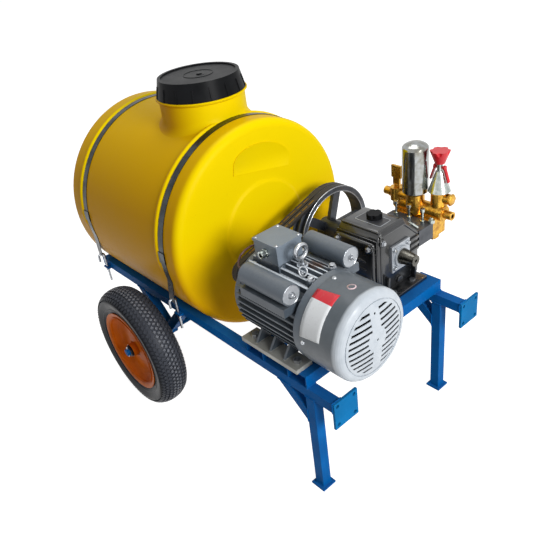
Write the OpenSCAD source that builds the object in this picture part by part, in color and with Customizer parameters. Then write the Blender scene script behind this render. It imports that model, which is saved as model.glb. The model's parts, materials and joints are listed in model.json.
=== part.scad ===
// Two-wheeled sprayer cart: drum tank, electric motor, belt drive and three-plunger pump on a tube frame.
// The cart's length runs along X with the hitch end at +X, the floor is Z = 0, and the origin lies on the
// floor under the middle of the cart.

/* [Frame] */
// Side of the square tube
tube = 25; // [22:1:28]
// Wall of the square tube
tube_wall = 2; // [1.5:0.5:3]
// Width over the outer faces of the side rails
frame_w = 472; // [460:4:560]
// Height of the rails' top faces above the floor
rail_top = 305; // [290:5:360]
// Distance from the legs' front faces back to the rails' rear ends
rail_tail = 925; // [880:5:1100]
// Distance from the legs' front faces forward to the rails' front ends
rail_nose = 55; // [40:5:90]
// Width of the two channels that carry the motor and the pump
channel_w = 60; // [56:2:70]
// Height of the channels over the rails
channel_h = 31; // [25:1:40]
// Thickness of the channels' sheet
channel_t = 3; // [2:0.5:5]
// Distance from the legs' front faces back to the front channel
channel_setback = 17; // [5:1:25]
// Angle of the leg braces from the horizontal
brace_angle = 40; // [35:1:50]
// Height at which a brace's lower edge meets its leg
brace_foot_z = 205; // [150:5:215]
// Side of a leg's square foot plate
foot_side = 40; // [34:1:60]
// Thickness of a foot plate
foot_t = 5; // [3:1:8]
// Side of a square hitch plate
hitch_side = 70; // [66:1:90]
// Thickness of a hitch plate
hitch_t = 6; // [4:1:10]
// Distance between the holes of a hitch plate
hitch_pitch = 50; // [44:1:52]
// Diameter of the holes of a hitch plate
hitch_hole_d = 9; // [6:0.5:11]

/* [Wheels] */
// Outer diameter of a tyre
wheel_d = 351; // [320:1:420]
// Width of a tyre
tyre_w = 85; // [70:1:100]
// Distance from a rail's outer side to its wheel's middle plane
wheel_out = 88.5; // [84:0.5:154]
// Distance from the legs' front faces back to the axle
axle_setback = 607; // [560:1:700]
// Diameter of the through axle
axle_d = 20; // [16:1:24]
// Outer diameter of a rim's lips
rim_lip_d = 234; // [220:1:250]
// Half of the spread of a bracket's two arms at the rail
arm_spread = 100; // [80:1:120]

/* [Tank] */
// Outer diameter of the drum
tank_d = 546; // [500:1:600]
// Length of the drum
tank_len = 545; // [500:5:640]
// Wall of the drum
tank_wall = 6; // [4:0.5:8]
// Distance from the legs' front faces back to the drum's front end
tank_setback = 385; // [370:5:420]
// Outer diameter of the filler neck
neck_d = 230; // [216:1:240]
// Height of the neck's shoulder over the drum's top
neck_h = 52; // [40:1:80]
// Distance from the drum's front end back to the neck's axis
neck_setback = 184; // [180:1:220]
// Height of the screw cap
cap_h = 44; // [36:1:60]
// Number of grip ribs around the cap
cap_ribs = 16; // [8:1:24]
// Width of the strap bands
strap_w = 20; // [16:1:24]
// Distance from the drum's front end back to the front strap
strap_front_setback = 65; // [50:1:66]
// Distance from the drum's front end back to the rear strap
strap_rear_setback = 455; // [400:1:480]
// Diameter of the hook bolts' rod
hook_rod_d = 7; // [5:0.5:8]

/* [Motor] */
// Height of the shaft over the feet
motor_axis_h = 100; // [95:1:112]
// Distance of the shaft from the cart's middle plane
motor_offset = 139; // [125:1:150]
// Distance between the foot holes across the shaft
motor_foot_a = 160; // [150:1:170]
// Distance between the foot holes along the shaft
motor_foot_b = 140; // [130:1:150]
// Diameter of the foot holes
motor_foot_hole_d = 12; // [10:1:13]
// Diameter of the shaft's free end
motor_shaft_d = 28; // [24:1:28]
// Outer diameter of the fan cover
fan_cover_d = 202; // [196:1:206]
// Length of the fan cover
fan_cover_len = 117; // [110:1:125]
// Outer diameter over the fins
fin_d = 194; // [190:1:196]

/* [Drive] */
// Outer diameter of the pump's pulley
pump_pulley_d = 238; // [210:1:250]
// Outer diameter of the motor's pulley
motor_pulley_d = 62; // [56:1:90]
// Width of both pulleys
pulley_w = 40; // [38:1:46]
// Distance between the two belts
belt_pitch = 19; // [18:0.5:20]
// Width of a belt's back
belt_w = 16; // [14:0.5:16]
// Thickness of a belt
belt_t = 10; // [8:0.5:11]

/* [Pump] */
// Height of the crank axis over the channels
crank_h = 94; // [94:1:106]
// Distance of the crank axis from the cart's middle plane
crank_offset = 147; // [143:1:150]
// Length of the crankcase along the crank
case_len = 125; // [120:1:130]
// Distance between two plungers
plunger_pitch = 41; // [40:1:42]
// Diameter of the plungers
plunger_d = 18; // [14:1:20]
// Diameter of the crankshaft's ends
crank_d = 25; // [22:1:26]
// Outer diameter of the air chamber
chamber_d = 66; // [56:1:72]
// Height of the air chamber
chamber_h = 134; // [110:1:160]

/* [Hidden] */
$fn = 96;

// Small clearances and standard pieces
gap = 0.3;           // between curved faces of different pieces
run = 0.05;          // radial running clearance of a shaft in its bore
loose = 0.2;         // radial clearance of a washer on its axle
cut = 1;             // how far a cutting body reaches past a face
m10_d = 10;          // bolts of the motor's feet
m10_head = 19;       // width of their hexagons across the corners
m10_head_h = 7;      // height of their hexagons
m8_d = 8;            // bolts of the pump's base
m8_head = 15;
m8_head_h = 6;
base_hole_d = 9;
bolt_end = 4;        // how far a bolt reaches past its nut

// Places along the cart
hull_tail = max(tank_setback + tank_len, rail_tail);
motor_front_hole_back = 57;
motor_shaft_len = 60;
shaft_to_hole = 63;
fan_cover_start = shaft_to_hole + motor_foot_b + 40;
motor_nose = fan_cover_start + fan_cover_len - shaft_to_hole - motor_foot_b - motor_front_hole_back;
leg_x = (hull_tail - motor_nose) / 2;
axle_x = leg_x - axle_setback;
axle_z = wheel_d / 2;
rail_in = frame_w / 2 - tube;
rail_bottom = rail_top - tube;
deck_z = rail_top + channel_h;
channel_mid_back = channel_setback + channel_w / 2;
rear_channel_back = channel_mid_back + motor_foot_b;

// The drum nests between the rails and rests on their inner top edges
seat_depth = 2;
tank_x = leg_x - tank_setback;
tank_z = rail_top + sqrt(pow(tank_d / 2 - seat_depth, 2) - rail_in * rail_in);
tank_edge_r = 20;
tank_top = tank_z + tank_d / 2;
bead_rise = 5;
bead_w = 16;
end_ring_d = 256;
end_ring_rise = 3;
neck_x = tank_x - neck_setback;
neck_top = tank_top + neck_h;
collar_h = 8;
collar_over = 7;
spigot_d = 196;
spigot_wall = 6;
basket_sheet = 1.5;
basket_depth = 120;
basket_gap = 3;
gasket_t = 2;
cap_roof_t = 4;
cap_taper = 10;
cap_skirt_gap = 0.5;
spigot_h = cap_h - cap_roof_t - gasket_t - basket_sheet + cap_skirt_gap;
cap_bore_r = spigot_d / 2 + cap_skirt_gap;
cap_r = cap_bore_r + 13;
cap_top_r = cap_r - cap_taper;
basket_flange_z = neck_top + spigot_h;
cap_z = basket_flange_z + basket_sheet + gasket_t + cap_roof_t - cap_h;
cap_rim_w = 8;
cap_dish = 3;
vent_d = 5;
vent_offset = 22;

// Straps and the hook bolts that pull them down
strap_t = 1.5;
strap_gap = 0.1;
hook_bend_r = 9;
hook_side_gap = 3;
hook_y = frame_w / 2 + hook_side_gap + hook_rod_d / 2;
hook_crest_y = hook_y + hook_bend_r;
hook_crest_over_rail = 30;
hook_crest_z = rail_top + hook_crest_over_rail;
hook_below_rail = 42;
hook_tip_drop = 14;
strap_r = tank_d / 2 + strap_gap;
eye_reach = sqrt(pow(hook_crest_y, 2) + pow(tank_z - hook_crest_z, 2));
eye_angle = atan2(tank_z - hook_crest_z, hook_crest_y);
strap_mid_r = strap_r + strap_t / 2;
strap_end_angle = eye_angle - acos(strap_mid_r / eye_reach);
tab_len = sqrt(eye_reach * eye_reach - strap_mid_r * strap_mid_r);
tab_drift = 50;
tab_angle = atan(tab_drift / tab_len);
tab_past_eye = 8;
tab_overlap = 3;
eye_d = hook_rod_d + 1.4;
lug_t = 5;
lug_w = 26;
lug_drop = 22;
nut_w = 12;
nut_h = 8;
bead_end_angle = strap_end_angle - 2;
clip_angle = 6;
clip_over = 2;

// Wheels, drawn about their axis with the outer side at +Z
lip_r = rim_lip_d / 2;
rim_w = 75;
rim_sheet = 2.5;
bead_seat_r = lip_r - 14;
well_r = bead_seat_r - 9;
bush_wall = 5;
hub_wall = 4;
hub_r = axle_d / 2 + bush_wall + hub_wall;
hub_len = 74;
bush_flange_r = axle_d / 2 + 7;
bush_flange_t = 3;
bush_len = 24;
hub_outset = 33;
washer_t = 3;
washer_r = axle_d / 2 + 5;
axle_past_washer = 8;
sleeve_r = axle_d / 2 + 7;
tyre_wall = 9;
tyre_section = wheel_d / 2 - lip_r;
crown_share = 0.62;
tread_groove_w = 5;
tread_groove_depth = 5;
hub_in = hub_outset - hub_len;
wheel_y = frame_w / 2 + wheel_out;
washer_y = wheel_y + hub_outset + bush_flange_t + gap;
axle_end_y = washer_y + washer_t + axle_past_washer;
pin_d = 4;
pin_y = washer_y + washer_t + pin_d / 2 + gap;

// Motor, drawn about its shaft with the shoulder at X = 0 and the fan towards +X
motor_x = leg_x - motor_front_hole_back - motor_foot_b - shaft_to_hole;
motor_z = deck_z + motor_axis_h;
foot_ends = 20;
foot_x0 = shaft_to_hole - foot_ends - 3;
foot_len = motor_foot_b + 2 * foot_ends + 3;
foot_w = 46;
foot_t_motor = 11;
foot_y = motor_foot_a / 2;
frame_r = 86;
stator_r = 80;
stator_x = 62;
stator_len = 130;
bore_r = 50;
rotor_air_gap = 1;
shield_t = 14;
frame_x0 = 36;
frame_x1 = fan_cover_start - 20;
bearing_shaft_r = motor_shaft_d / 2 + 1;
bearing_r = bearing_shaft_r + 16;
bearing_w = 16;
fin_t = 4;
fin_pitch = 15.5;
fin_top_z = 40;
fin_rows = 8;
top_fin_pitch = 15;
top_fin_rows = 3;
top_z = fin_d / 2 + 1;
cover_sheet = 1.5;
cover_round = 15;
grille_r = 82;
grille_dome = 10;
grille_groove = 2;
slot_h = 5.5;
slot_pitch = 13.2;
slot_rows = 11;
slot_outer_r = 76;
slot_inner_r = 26;
slot_mid = 13;
fan_hub_r = 20;
fan_r = 82;
fan_blades = 8;
fan_x = fan_cover_start + 22;
fan_blade_w = 34;
fan_shaft_r = 12;
box_x0 = 52;
box_len = 74;
box_w = 71;
box_y0 = -36;
box_floor_z = top_z;
box_h = 46;
box_sheet = 3;
lid_t = 6;
lid_over = 2;
gland_r = 9;
gland_bore_r = 5;
gland_len = 16;
gland_x = box_x0 + 38;
gland_z = box_floor_z + 22;
can_r = 21;
can_cover_r = 24;
can_pad_h = 20;
can_cover_t = 1.5;
can_left_y = 81;
can_left_z = 99;
can_left_x0 = 100;
can_left_len = 122;
can_right_y = -83;
can_right_z = 88;
can_right_x0 = 75;
can_right_len = 138;
can_disc_t = 3;
can_stud_r = 4;
eye_x = 161;
eye_ring_r = 20;
eye_wire_r = 4.5;
eye_stem_h = 12;
eye_collar_r = 9;
lead_r = 2.5;
lead_sides = 8;

// Belt drive
pump_x = leg_x - channel_setback - channel_w / 2 - motor_foot_b / 2 - 20.5;
pump_z = deck_z + crank_h;
pulley_mid_x = motor_x - motor_shaft_len / 2 - 13;
belt_bottom_w = belt_w - 6;
groove_clear = 0.5;
belt_over = 1;
pump_belt_r = pump_pulley_d / 2 + belt_over;
motor_belt_r = motor_pulley_d / 2 + belt_over;
belt_dy = crank_offset + motor_offset;
belt_dz = pump_z - motor_z;
belt_span = sqrt(belt_dy * belt_dy + belt_dz * belt_dz);
belt_tilt = atan2(belt_dz, belt_dy);
belt_wrap = asin((pump_belt_r - motor_belt_r) / belt_span);
pulley_rim_t = 14;
pulley_hub_r = crank_d / 2 + 15.5;
pulley_hub_len = 64;
pulley_web_t = 10;
spoke_count = 5;
spoke_w = 24;

// Pump, drawn about the crank axis with the middle of the crankcase at X = 0
case_wall = 8;
case_y0 = -77;
case_y1 = 78;
case_top = 86;
case_bottom = -86;
chamfer_y = 56;
chamfer_z = 52;
small_chamfer = 15;
skid_x0 = -79;
skid_x1 = 92;
skid_y0 = -60;
skid_y1 = 72;
skid_t = crank_h + case_bottom;
base_hole_front = 76;
base_hole_rear = -69.5;
base_hole_right = -38;
base_hole_left = 33;
front_rib_t = 5;
flange_w = 66;
flange_h = 70;
flange_t = 6;
flange_boss_r = crank_d / 2 + 13.5;
flange_boss_t = 5;
flange_bolt_pitch = 50;
crank_collar_r = crank_d / 2 + 7.5;
crank_cone_len = 34;
crank_front = 112;
crank_rear_past = 6;
throw = 12;
throw_r = 28;
throw_w = 24;
side_cover_t = 8;
cover_bolt_r = 5;
cover_bolt_h = 5;
crosshead_r = plunger_d / 2 + 6;
crosshead_y0 = 45;
crosshead_len = 26;
plunger_end = 166;
oil_x = 0;
oil_y = -12;
oil_neck_r = 9;
oil_knob_r = 19;
oil_knob_h = 13;
oil_neck_h = 5;
window_x = 48;
window_w = 28;
window_h = 28;
window_t = 4;
block_y1 = 134;
block_z0 = -15;
block_z1 = 28;
plate_y1 = 142;
plate_z0 = -21;
plate_z1 = 26;
valve_y1 = 190;
valve_z0 = -20;
valve_z1 = 32;
plunger_run = 0.1;
gallery_y = 165;
gallery_z = 42;
gallery_r = 20;
gallery_x0 = -72;
gallery_x1 = 74;
nozzle_r = 11;
nozzle_x = 97;
nozzle_bore_r = 6;
nozzle_bore_len = 30;
riser_x = -8;
riser_y = 155;
riser_r = 24;
riser_top = 84;
arm_z = 68;
arm_r = 13;
cock_x = -66;
cock_r = 17;
cock_top = 86;
outlet_x = -102;
outlet_len = 18;
reg_x = 52;
reg_y = 172;
reg_r = 21;
reg_body_top = 98;
side_port_z = 81;
side_port_len = 38;
bonnet_r = 28;
bonnet_top_r = 10;
bonnet_top = 150;
reg_stem_r = 7;
reg_pivot_z = 160;
reg_stem_top = 172;
knob_r = 24.5;
knob_waist = 0.5;
knob_z0 = 170;
knob_h = 32;
knob_lobes = 6;
lever_pin_r = 3;
lever_leg_w = 5;
lever_hub_over = 0.5;
lever_leg_t = 8;
lever_leg_len = 38;
lever_inner = 11;
lever_hub_r = 6;
lever_splay = 19;
wing_w = 30;
wing_t = 7;
wing_h = 50;
wing_stem_r = 7;
wing_stem_h = 8;
cup_y = 120;
cup_r = 6;
cup_stem_r = 3;
cup_h = 38;
cup_t = 8;

module mirrored_y() {
    children();
    mirror([0, 1, 0]) children();
}

// Places of the five assemblies
module at_wheel() {
    translate([axle_x, -wheel_y, axle_z]) rotate([90, 0, 0]) children();
}

module at_tank() {
    translate([tank_x, 0, tank_z]) children();
}

module at_motor() {
    translate([motor_x, -motor_offset, motor_z]) children();
}

module at_pump() {
    translate([pump_x, crank_offset, pump_z]) children();
}

// A box from one corner to the other
module block(low, high) {
    translate(low) cube(high - low);
}

// A round bar along X, Y or Z
module bar_x(x0, x1, r) {
    translate([x0, 0, 0]) rotate([0, 90, 0]) cylinder(h = x1 - x0, r = r);
}

module bar_y(y0, y1, r) {
    translate([0, y0, 0]) rotate([-90, 0, 0]) cylinder(h = y1 - y0, r = r);
}

module bar_z(z0, z1, r) {
    translate([0, 0, z0]) cylinder(h = z1 - z0, r = r);
}

// A hollow square tube along X with its low corner at the origin
module square_tube(len) {
    difference() {
        cube([len, tube, tube]);
        translate([-cut, tube_wall, tube_wall])
            cube([len + 2 * cut, tube - 2 * tube_wall, tube - 2 * tube_wall]);
    }
}

// A side view in X and Z given a thickness along Y, from y0 towards +Y
module side_plate(y0, width) {
    translate([0, y0 + width, 0]) rotate([90, 0, 0]) linear_extrude(width) children();
}

// Hexagon of a bolt or nut, standing on Z = 0
module hexagon(width, height) {
    cylinder(h = height, d = width, $fn = 6);
}

// ---------- frame ----------

module side_rails() {
    color("royalblue") mirrored_y()
        translate([leg_x - rail_tail, -frame_w / 2, rail_bottom]) square_tube(rail_tail + rail_nose);
}

// Channel with its web on top, centred on X = 0 and lying on the rails
module channel() {
    difference() {
        block([-channel_w / 2, -frame_w / 2, rail_top], [channel_w / 2, frame_w / 2, deck_z]);
        block([-channel_w / 2 + channel_t, -frame_w / 2 - cut, rail_top - cut],
              [channel_w / 2 - channel_t, frame_w / 2 + cut, deck_z - channel_t]);
    }
}

// Holes through both channels for the motor's feet and the pump's base
module deck_holes() {
    for (x = [shaft_to_hole, shaft_to_hole + motor_foot_b], side = [-1, 1])
        at_motor() translate([x, side * foot_y, 0])
            bar_z(-motor_axis_h - channel_h, -motor_axis_h + cut, motor_foot_hole_d / 2);
    for (x = [base_hole_rear, base_hole_front], y = [base_hole_right, base_hole_left])
        at_pump() translate([x, y, 0]) bar_z(-crank_h - channel_h, -crank_h + cut, base_hole_d / 2);
}

module front_channel() {
    color("royalblue") difference() {
        translate([leg_x - channel_mid_back, 0, 0]) channel();
        deck_holes();
    }
}

module rear_channel() {
    color("royalblue") difference() {
        translate([leg_x - rear_channel_back, 0, 0]) channel();
        deck_holes();
    }
}

module front_legs() {
    color("royalblue") mirrored_y()
        translate([leg_x - tube, -frame_w / 2, rail_bottom]) rotate([0, 90, 0]) square_tube(rail_bottom - foot_t);
}

module leg_feet() {
    color("royalblue") mirrored_y()
        translate([leg_x - tube / 2 - foot_side / 2, -frame_w / 2 + tube / 2 - foot_side / 2, 0])
            cube([foot_side, foot_side, foot_t]);
}

// Side outline of a brace, drawn in by a margin for its hollow
module brace_outline(margin) {
    inset_low = margin / cos(brace_angle);
    low = brace_foot_z + inset_low;
    high = brace_foot_z + tube / cos(brace_angle) - inset_low;
    run_low = (rail_bottom - low) / tan(brace_angle);
    run_high = (rail_bottom - high) / tan(brace_angle);
    polygon([
        [leg_x - tube, low],
        [leg_x - tube, high],
        [leg_x - tube - run_high, rail_bottom],
        [leg_x - tube - run_low, rail_bottom]
    ]);
}

module leg_braces() {
    color("royalblue") mirrored_y() difference() {
        side_plate(-frame_w / 2, tube) brace_outline(0);
        side_plate(-frame_w / 2 + tube_wall, tube - 2 * tube_wall) brace_outline(tube_wall);
    }
}

module hitch_plates() {
    inset = (hitch_side - hitch_pitch) / 2;
    color("dodgerblue") for (y = [-frame_w / 2, frame_w / 2 - tube])
        translate([leg_x + rail_nose, y, rail_top - hitch_side]) difference() {
            cube([hitch_t, hitch_side, hitch_side]);
            for (u = [inset, hitch_side - inset], v = [inset, hitch_side - inset])
                translate([0, u, v]) bar_x(-cut, hitch_t + cut, hitch_hole_d / 2);
        }
}

// ---------- running gear ----------

// One slanted arm of a bracket, from the axle up to the rail, drawn in by a margin for its hollow
module arm_outline(margin) {
    rise = rail_bottom - axle_z;
    slant = atan2(rise, arm_spread);
    half_cut = (tube / 2 - margin) / sin(slant);
    polygon([
        [-half_cut, 0],
        [half_cut, 0],
        [arm_spread + half_cut, rise],
        [arm_spread - half_cut, rise]
    ]);
}

module axle_arms() {
    color("royalblue") mirrored_y() translate([axle_x, 0, axle_z]) difference() {
        union() {
            for (side = [0, 1]) mirror([side, 0, 0]) difference() {
                side_plate(-frame_w / 2, tube) arm_outline(0);
                side_plate(-frame_w / 2 + tube_wall, tube - 2 * tube_wall) arm_outline(tube_wall);
            }
            bar_y(-frame_w / 2, -rail_in, sleeve_r);
        }
        bar_y(-frame_w / 2 - cut, -rail_in + cut, axle_d / 2 + run);
    }
}

module axle() {
    color("royalblue") translate([axle_x, 0, axle_z]) difference() {
        bar_y(-axle_end_y, axle_end_y, axle_d / 2);
        for (side = [-1, 1]) translate([0, side * pin_y, 0]) bar_z(-axle_d, axle_d, pin_d / 2);
    }
}

module strap_lugs() {
    color("royalblue") for (setback = [strap_front_setback, strap_rear_setback])
        mirrored_y() translate([tank_x - setback - tab_drift, 0, rail_top - lug_drop]) difference() {
            block([-lug_w / 2, -hook_y - nut_w / 2, 0], [lug_w / 2, -frame_w / 2, lug_t]);
            translate([0, -hook_y, 0]) bar_z(-cut, lug_t + cut, hook_rod_d / 2 + gap);
        }
}

// Half section of the pressed rim: barrel with two lips, cone disc and hub tube
module rim_section() {
    half = rim_w / 2;
    seat = half - rim_sheet - 2;
    well = 16;
    polygon([
        [lip_r, half], [lip_r - rim_sheet, half], [bead_seat_r - rim_sheet, seat],
        [bead_seat_r - rim_sheet, well + 6], [well_r - rim_sheet, well],
        [well_r - rim_sheet, rim_sheet + 2], [hub_r, hub_outset - 16], [hub_r, hub_outset],
        [hub_r - hub_wall, hub_outset], [hub_r - hub_wall, hub_in], [hub_r, hub_in],
        [hub_r, hub_outset - 20], [well_r - rim_sheet, -2],
        [well_r - rim_sheet, -well], [bead_seat_r - rim_sheet, -well - 6],
        [bead_seat_r - rim_sheet, -seat], [lip_r - rim_sheet, -half], [lip_r, -half],
        [lip_r, -half + rim_sheet], [bead_seat_r, -seat + rim_sheet], [bead_seat_r, -well - 6],
        [well_r, -well], [well_r, well], [bead_seat_r, well + 6], [bead_seat_r, seat - rim_sheet],
        [lip_r, half - rim_sheet]
    ]);
}

module rim() {
    color("darkorange") rotate_extrude() rim_section();
}

// Half section of a tyre: round casing over straight side walls, open towards the rim
module tyre_casing(inset) {
    half = tyre_w / 2 - inset;
    crown = wheel_d / 2 - inset;
    shoulder = crown - min(half * crown_share, tyre_section / 2);
    steps = 8;
    arc = [for (i = [0:steps]) [shoulder + (crown - shoulder) * sin(180 * i / steps),
                                half * cos(180 * i / steps)]];
    foot = rim_w / 2 - 8 - inset;
    polygon(concat([[bead_seat_r + gap - inset, foot], [lip_r + 4, foot + 3]], arc,
                   [[lip_r + 4, -foot - 3], [bead_seat_r + gap - inset, -foot]]));
}

module tyre() {
    color("dimgray") rotate_extrude() difference() {
        tyre_casing(0);
        tyre_casing(tyre_wall);
        for (y = [-1, 0, 1]) translate([wheel_d / 2 - tread_groove_depth, y * tyre_w / 5 - tread_groove_w / 2])
            square([tread_groove_w * 2, tread_groove_w]);
    }
}

module hub_bushes() {
    color("black") {
        difference() {
            union() {
                bar_z(hub_outset - bush_len, hub_outset, hub_r - hub_wall);
                bar_z(hub_outset, hub_outset + bush_flange_t, bush_flange_r);
            }
            bar_z(hub_in, hub_outset + bush_flange_t + cut, axle_d / 2 + run);
        }
        difference() {
            union() {
                bar_z(hub_in, hub_in + bush_len, hub_r - hub_wall);
                bar_z(hub_in - bush_flange_t, hub_in, bush_flange_r);
            }
            bar_z(hub_in - bush_flange_t - cut, hub_outset, axle_d / 2 + run);
        }
    }
}

module rim_right() {
    at_wheel() rim();
}

module rim_left() {
    mirror([0, 1, 0]) at_wheel() rim();
}

module tyre_right() {
    at_wheel() tyre();
}

module tyre_left() {
    mirror([0, 1, 0]) at_wheel() tyre();
}

module hub_bushes_right() {
    at_wheel() hub_bushes();
}

module hub_bushes_left() {
    mirror([0, 1, 0]) at_wheel() hub_bushes();
}

// A washer outside each wheel, and a spacer between each wheel and its bracket
module axle_washers() {
    color("dimgray") mirrored_y() translate([axle_x, 0, axle_z]) {
        difference() {
            bar_y(-washer_y - washer_t, -washer_y, washer_r);
            bar_y(-washer_y - washer_t - cut, -washer_y + cut, axle_d / 2 + loose);
        }
        difference() {
            bar_y(-wheel_y - hub_in + bush_flange_t + gap, -frame_w / 2, washer_r);
            bar_y(-wheel_y - hub_in + bush_flange_t, -frame_w / 2 + cut, axle_d / 2 + loose);
        }
    }
}

module split_pins() {
    pin_reach = axle_d / 2 + 5;
    color("silver") mirrored_y() translate([axle_x, -pin_y, axle_z]) {
        bar_z(-pin_reach, pin_reach, pin_d / 2);
        translate([0, 0, pin_reach]) sphere(r = pin_d * 0.55);
    }
}

// ---------- tank ----------

// Half section of the drum along its length, from the front end at 0 back to -tank_len
module tank_outline(inset) {
    r = tank_d / 2 - inset;
    len = tank_len - inset;
    edge = tank_edge_r - inset / 2;
    steps = 6;
    front = [for (i = [0:steps]) [r - edge + edge * cos(90 * i / steps), -inset - edge + edge * sin(90 * i / steps)]];
    rear = [for (i = [0:steps]) [r - edge + edge * sin(90 * i / steps), -len + edge - edge * cos(90 * i / steps)]];
    polygon(concat([[0, -len]], rear, front, [[0, -inset]]));
}

// Raised bead just behind a strap
module tank_bead(setback) {
    mid = -setback - strap_w / 2 - clip_over - bead_w / 2 - 1;
    steps = 8;
    polygon(concat([[tank_d / 2 - 2, mid - bead_w / 2]],
        [for (i = [0:steps]) [tank_d / 2 + bead_rise * sin(180 * i / steps),
                              mid - bead_w / 2 * cos(180 * i / steps)]],
        [[tank_d / 2 - 2, mid + bead_w / 2]]));
}

module tank_shell() {
    neck_r = neck_d / 2;
    bore = spigot_d / 2 - spigot_wall;
    color("gold") difference() {
        union() {
            at_tank() rotate([0, 90, 0]) {
                rotate_extrude() tank_outline(0);
                for (setback = [strap_front_setback, strap_rear_setback])
                    rotate_extrude(angle = 180 + 2 * bead_end_angle, start = 90 - bead_end_angle)
                        tank_bead(setback);
                bar_z(-tank_wall, end_ring_rise, end_ring_d / 2);
            }
            translate([neck_x, 0, 0]) {
                bar_z(tank_z, neck_top - collar_h, neck_r - collar_over);
                bar_z(neck_top - collar_h, neck_top, neck_r);
                bar_z(neck_top, neck_top + spigot_h, spigot_d / 2);
            }
        }
        at_tank() rotate([0, 90, 0]) rotate_extrude() tank_outline(tank_wall);
        translate([neck_x, 0, 0]) {
            bar_z(tank_z, neck_top - collar_h, neck_r - collar_over - tank_wall);
            bar_z(tank_z, neck_top + spigot_h + cut, bore);
        }
        mirrored_y() block([leg_x - rail_tail - tank_len, -frame_w / 2, rail_bottom],
                           [leg_x + rail_nose, -rail_in, rail_top]);
    }
}

module tank_cap() {
    rib_w = 3;
    rib_rise = 2;
    rib_h = cap_h * 0.7;
    color("black") translate([neck_x, 0, cap_z]) difference() {
        union() {
            cylinder(h = cap_h, r1 = cap_r, r2 = cap_top_r);
            for (i = [0:cap_ribs - 1]) rotate([0, 0, 360 * i / cap_ribs])
                translate([cap_r, 0, 0]) rotate([0, -atan(cap_taper / cap_h), 0])
                    block([-rib_rise, -rib_w / 2, cut], [rib_rise, rib_w / 2, rib_h]);
        }
        bar_z(cap_h - cap_dish, cap_h + cut, cap_top_r - cap_rim_w);
        bar_z(-cut, cap_h - cap_roof_t, cap_bore_r);
        translate([vent_offset, 0, 0]) bar_z(0, cap_h + cut, vent_d / 2);
    }
}

module cap_gasket() {
    z = basket_flange_z + basket_sheet;
    color("dimgray") translate([neck_x, 0, z]) difference() {
        cylinder(h = gasket_t, r = spigot_d / 2);
        bar_z(-cut, gasket_t + cut, spigot_d / 2 - 10);
    }
}

module strainer_basket() {
    r = spigot_d / 2 - spigot_wall - basket_gap;
    holes = 12;
    color("whitesmoke") translate([neck_x, 0, basket_flange_z]) difference() {
        union() {
            cylinder(h = basket_sheet, r = spigot_d / 2);
            bar_z(-basket_depth, basket_sheet, r);
        }
        bar_z(-basket_depth + basket_sheet, basket_sheet + cut, r - basket_sheet);
        for (i = [0:holes - 1]) rotate([0, 0, 360 * i / holes])
            translate([0, 0, -basket_depth * 0.6]) bar_x(r / 2, r + cut, 6);
    }
}

// A strap's band over the drum and its straight ends down to the hook bolts
module strap(setback) {
    color("silver") at_tank() translate([-setback, 0, 0]) {
        rotate([90, 0, 90]) rotate_extrude(angle = 180 + 2 * strap_end_angle, start = -strap_end_angle)
            translate([strap_r, -strap_w / 2]) square([strap_t, strap_w]);
        mirrored_y() rotate([-strap_end_angle, 0, 0]) rotate([0, 180, 0])
            translate([0, strap_r, 0]) rotate([0, tab_angle, 0]) difference() {
                block([-strap_w / 2, 0, -tab_overlap],
                      [strap_w / 2, strap_t, tab_len / cos(tab_angle) + tab_past_eye]);
                translate([0, 0, tab_len / cos(tab_angle)]) bar_y(-cut, strap_t + cut, eye_d / 2);
            }
    }
}

module strap_front() {
    strap(strap_front_setback);
}

module strap_rear() {
    strap(strap_rear_setback);
}

// Crimped clips around the bands above the hooks
module strap_clips() {
    color("gray") for (setback = [strap_front_setback, strap_rear_setback])
        at_tank() translate([-setback, 0, 0]) mirrored_y() rotate([90, 0, 90])
            rotate_extrude(angle = clip_angle, start = 0) difference() {
                translate([strap_r, -strap_w / 2 - clip_over])
                    square([strap_t + clip_over, strap_w + 2 * clip_over]);
                translate([strap_r - cut, -strap_w / 2 - run])
                    square([strap_t + cut + run, strap_w + 2 * run]);
            }
}

// A rod with its top bent outwards and down through the strap's eye
module hook_bolt() {
    color("silver") {
        bar_z(rail_bottom - hook_below_rail, hook_crest_z - hook_bend_r, hook_rod_d / 2);
        translate([0, -hook_bend_r, hook_crest_z - hook_bend_r]) rotate([90, 0, 90])
            rotate_extrude(angle = 180, start = 0) translate([hook_bend_r, 0]) circle(d = hook_rod_d);
        translate([0, -2 * hook_bend_r, 0])
            bar_z(hook_crest_z - hook_bend_r - hook_tip_drop, hook_crest_z - hook_bend_r, hook_rod_d / 2);
    }
}

module at_hooks() {
    for (setback = [strap_front_setback, strap_rear_setback]) mirrored_y()
        translate([tank_x - setback - tab_drift, -hook_y, 0]) children();
}

module hook_bolts() {
    at_hooks() hook_bolt();
}

module hook_nuts() {
    color("silver") at_hooks() translate([0, 0, rail_top - lug_drop - nut_h]) rotate([0, 0, 30]) difference() {
        hexagon(nut_w, nut_h);
        bar_z(-cut, nut_h + cut, hook_rod_d / 2 + run);
    }
}

// ---------- motor ----------

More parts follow.
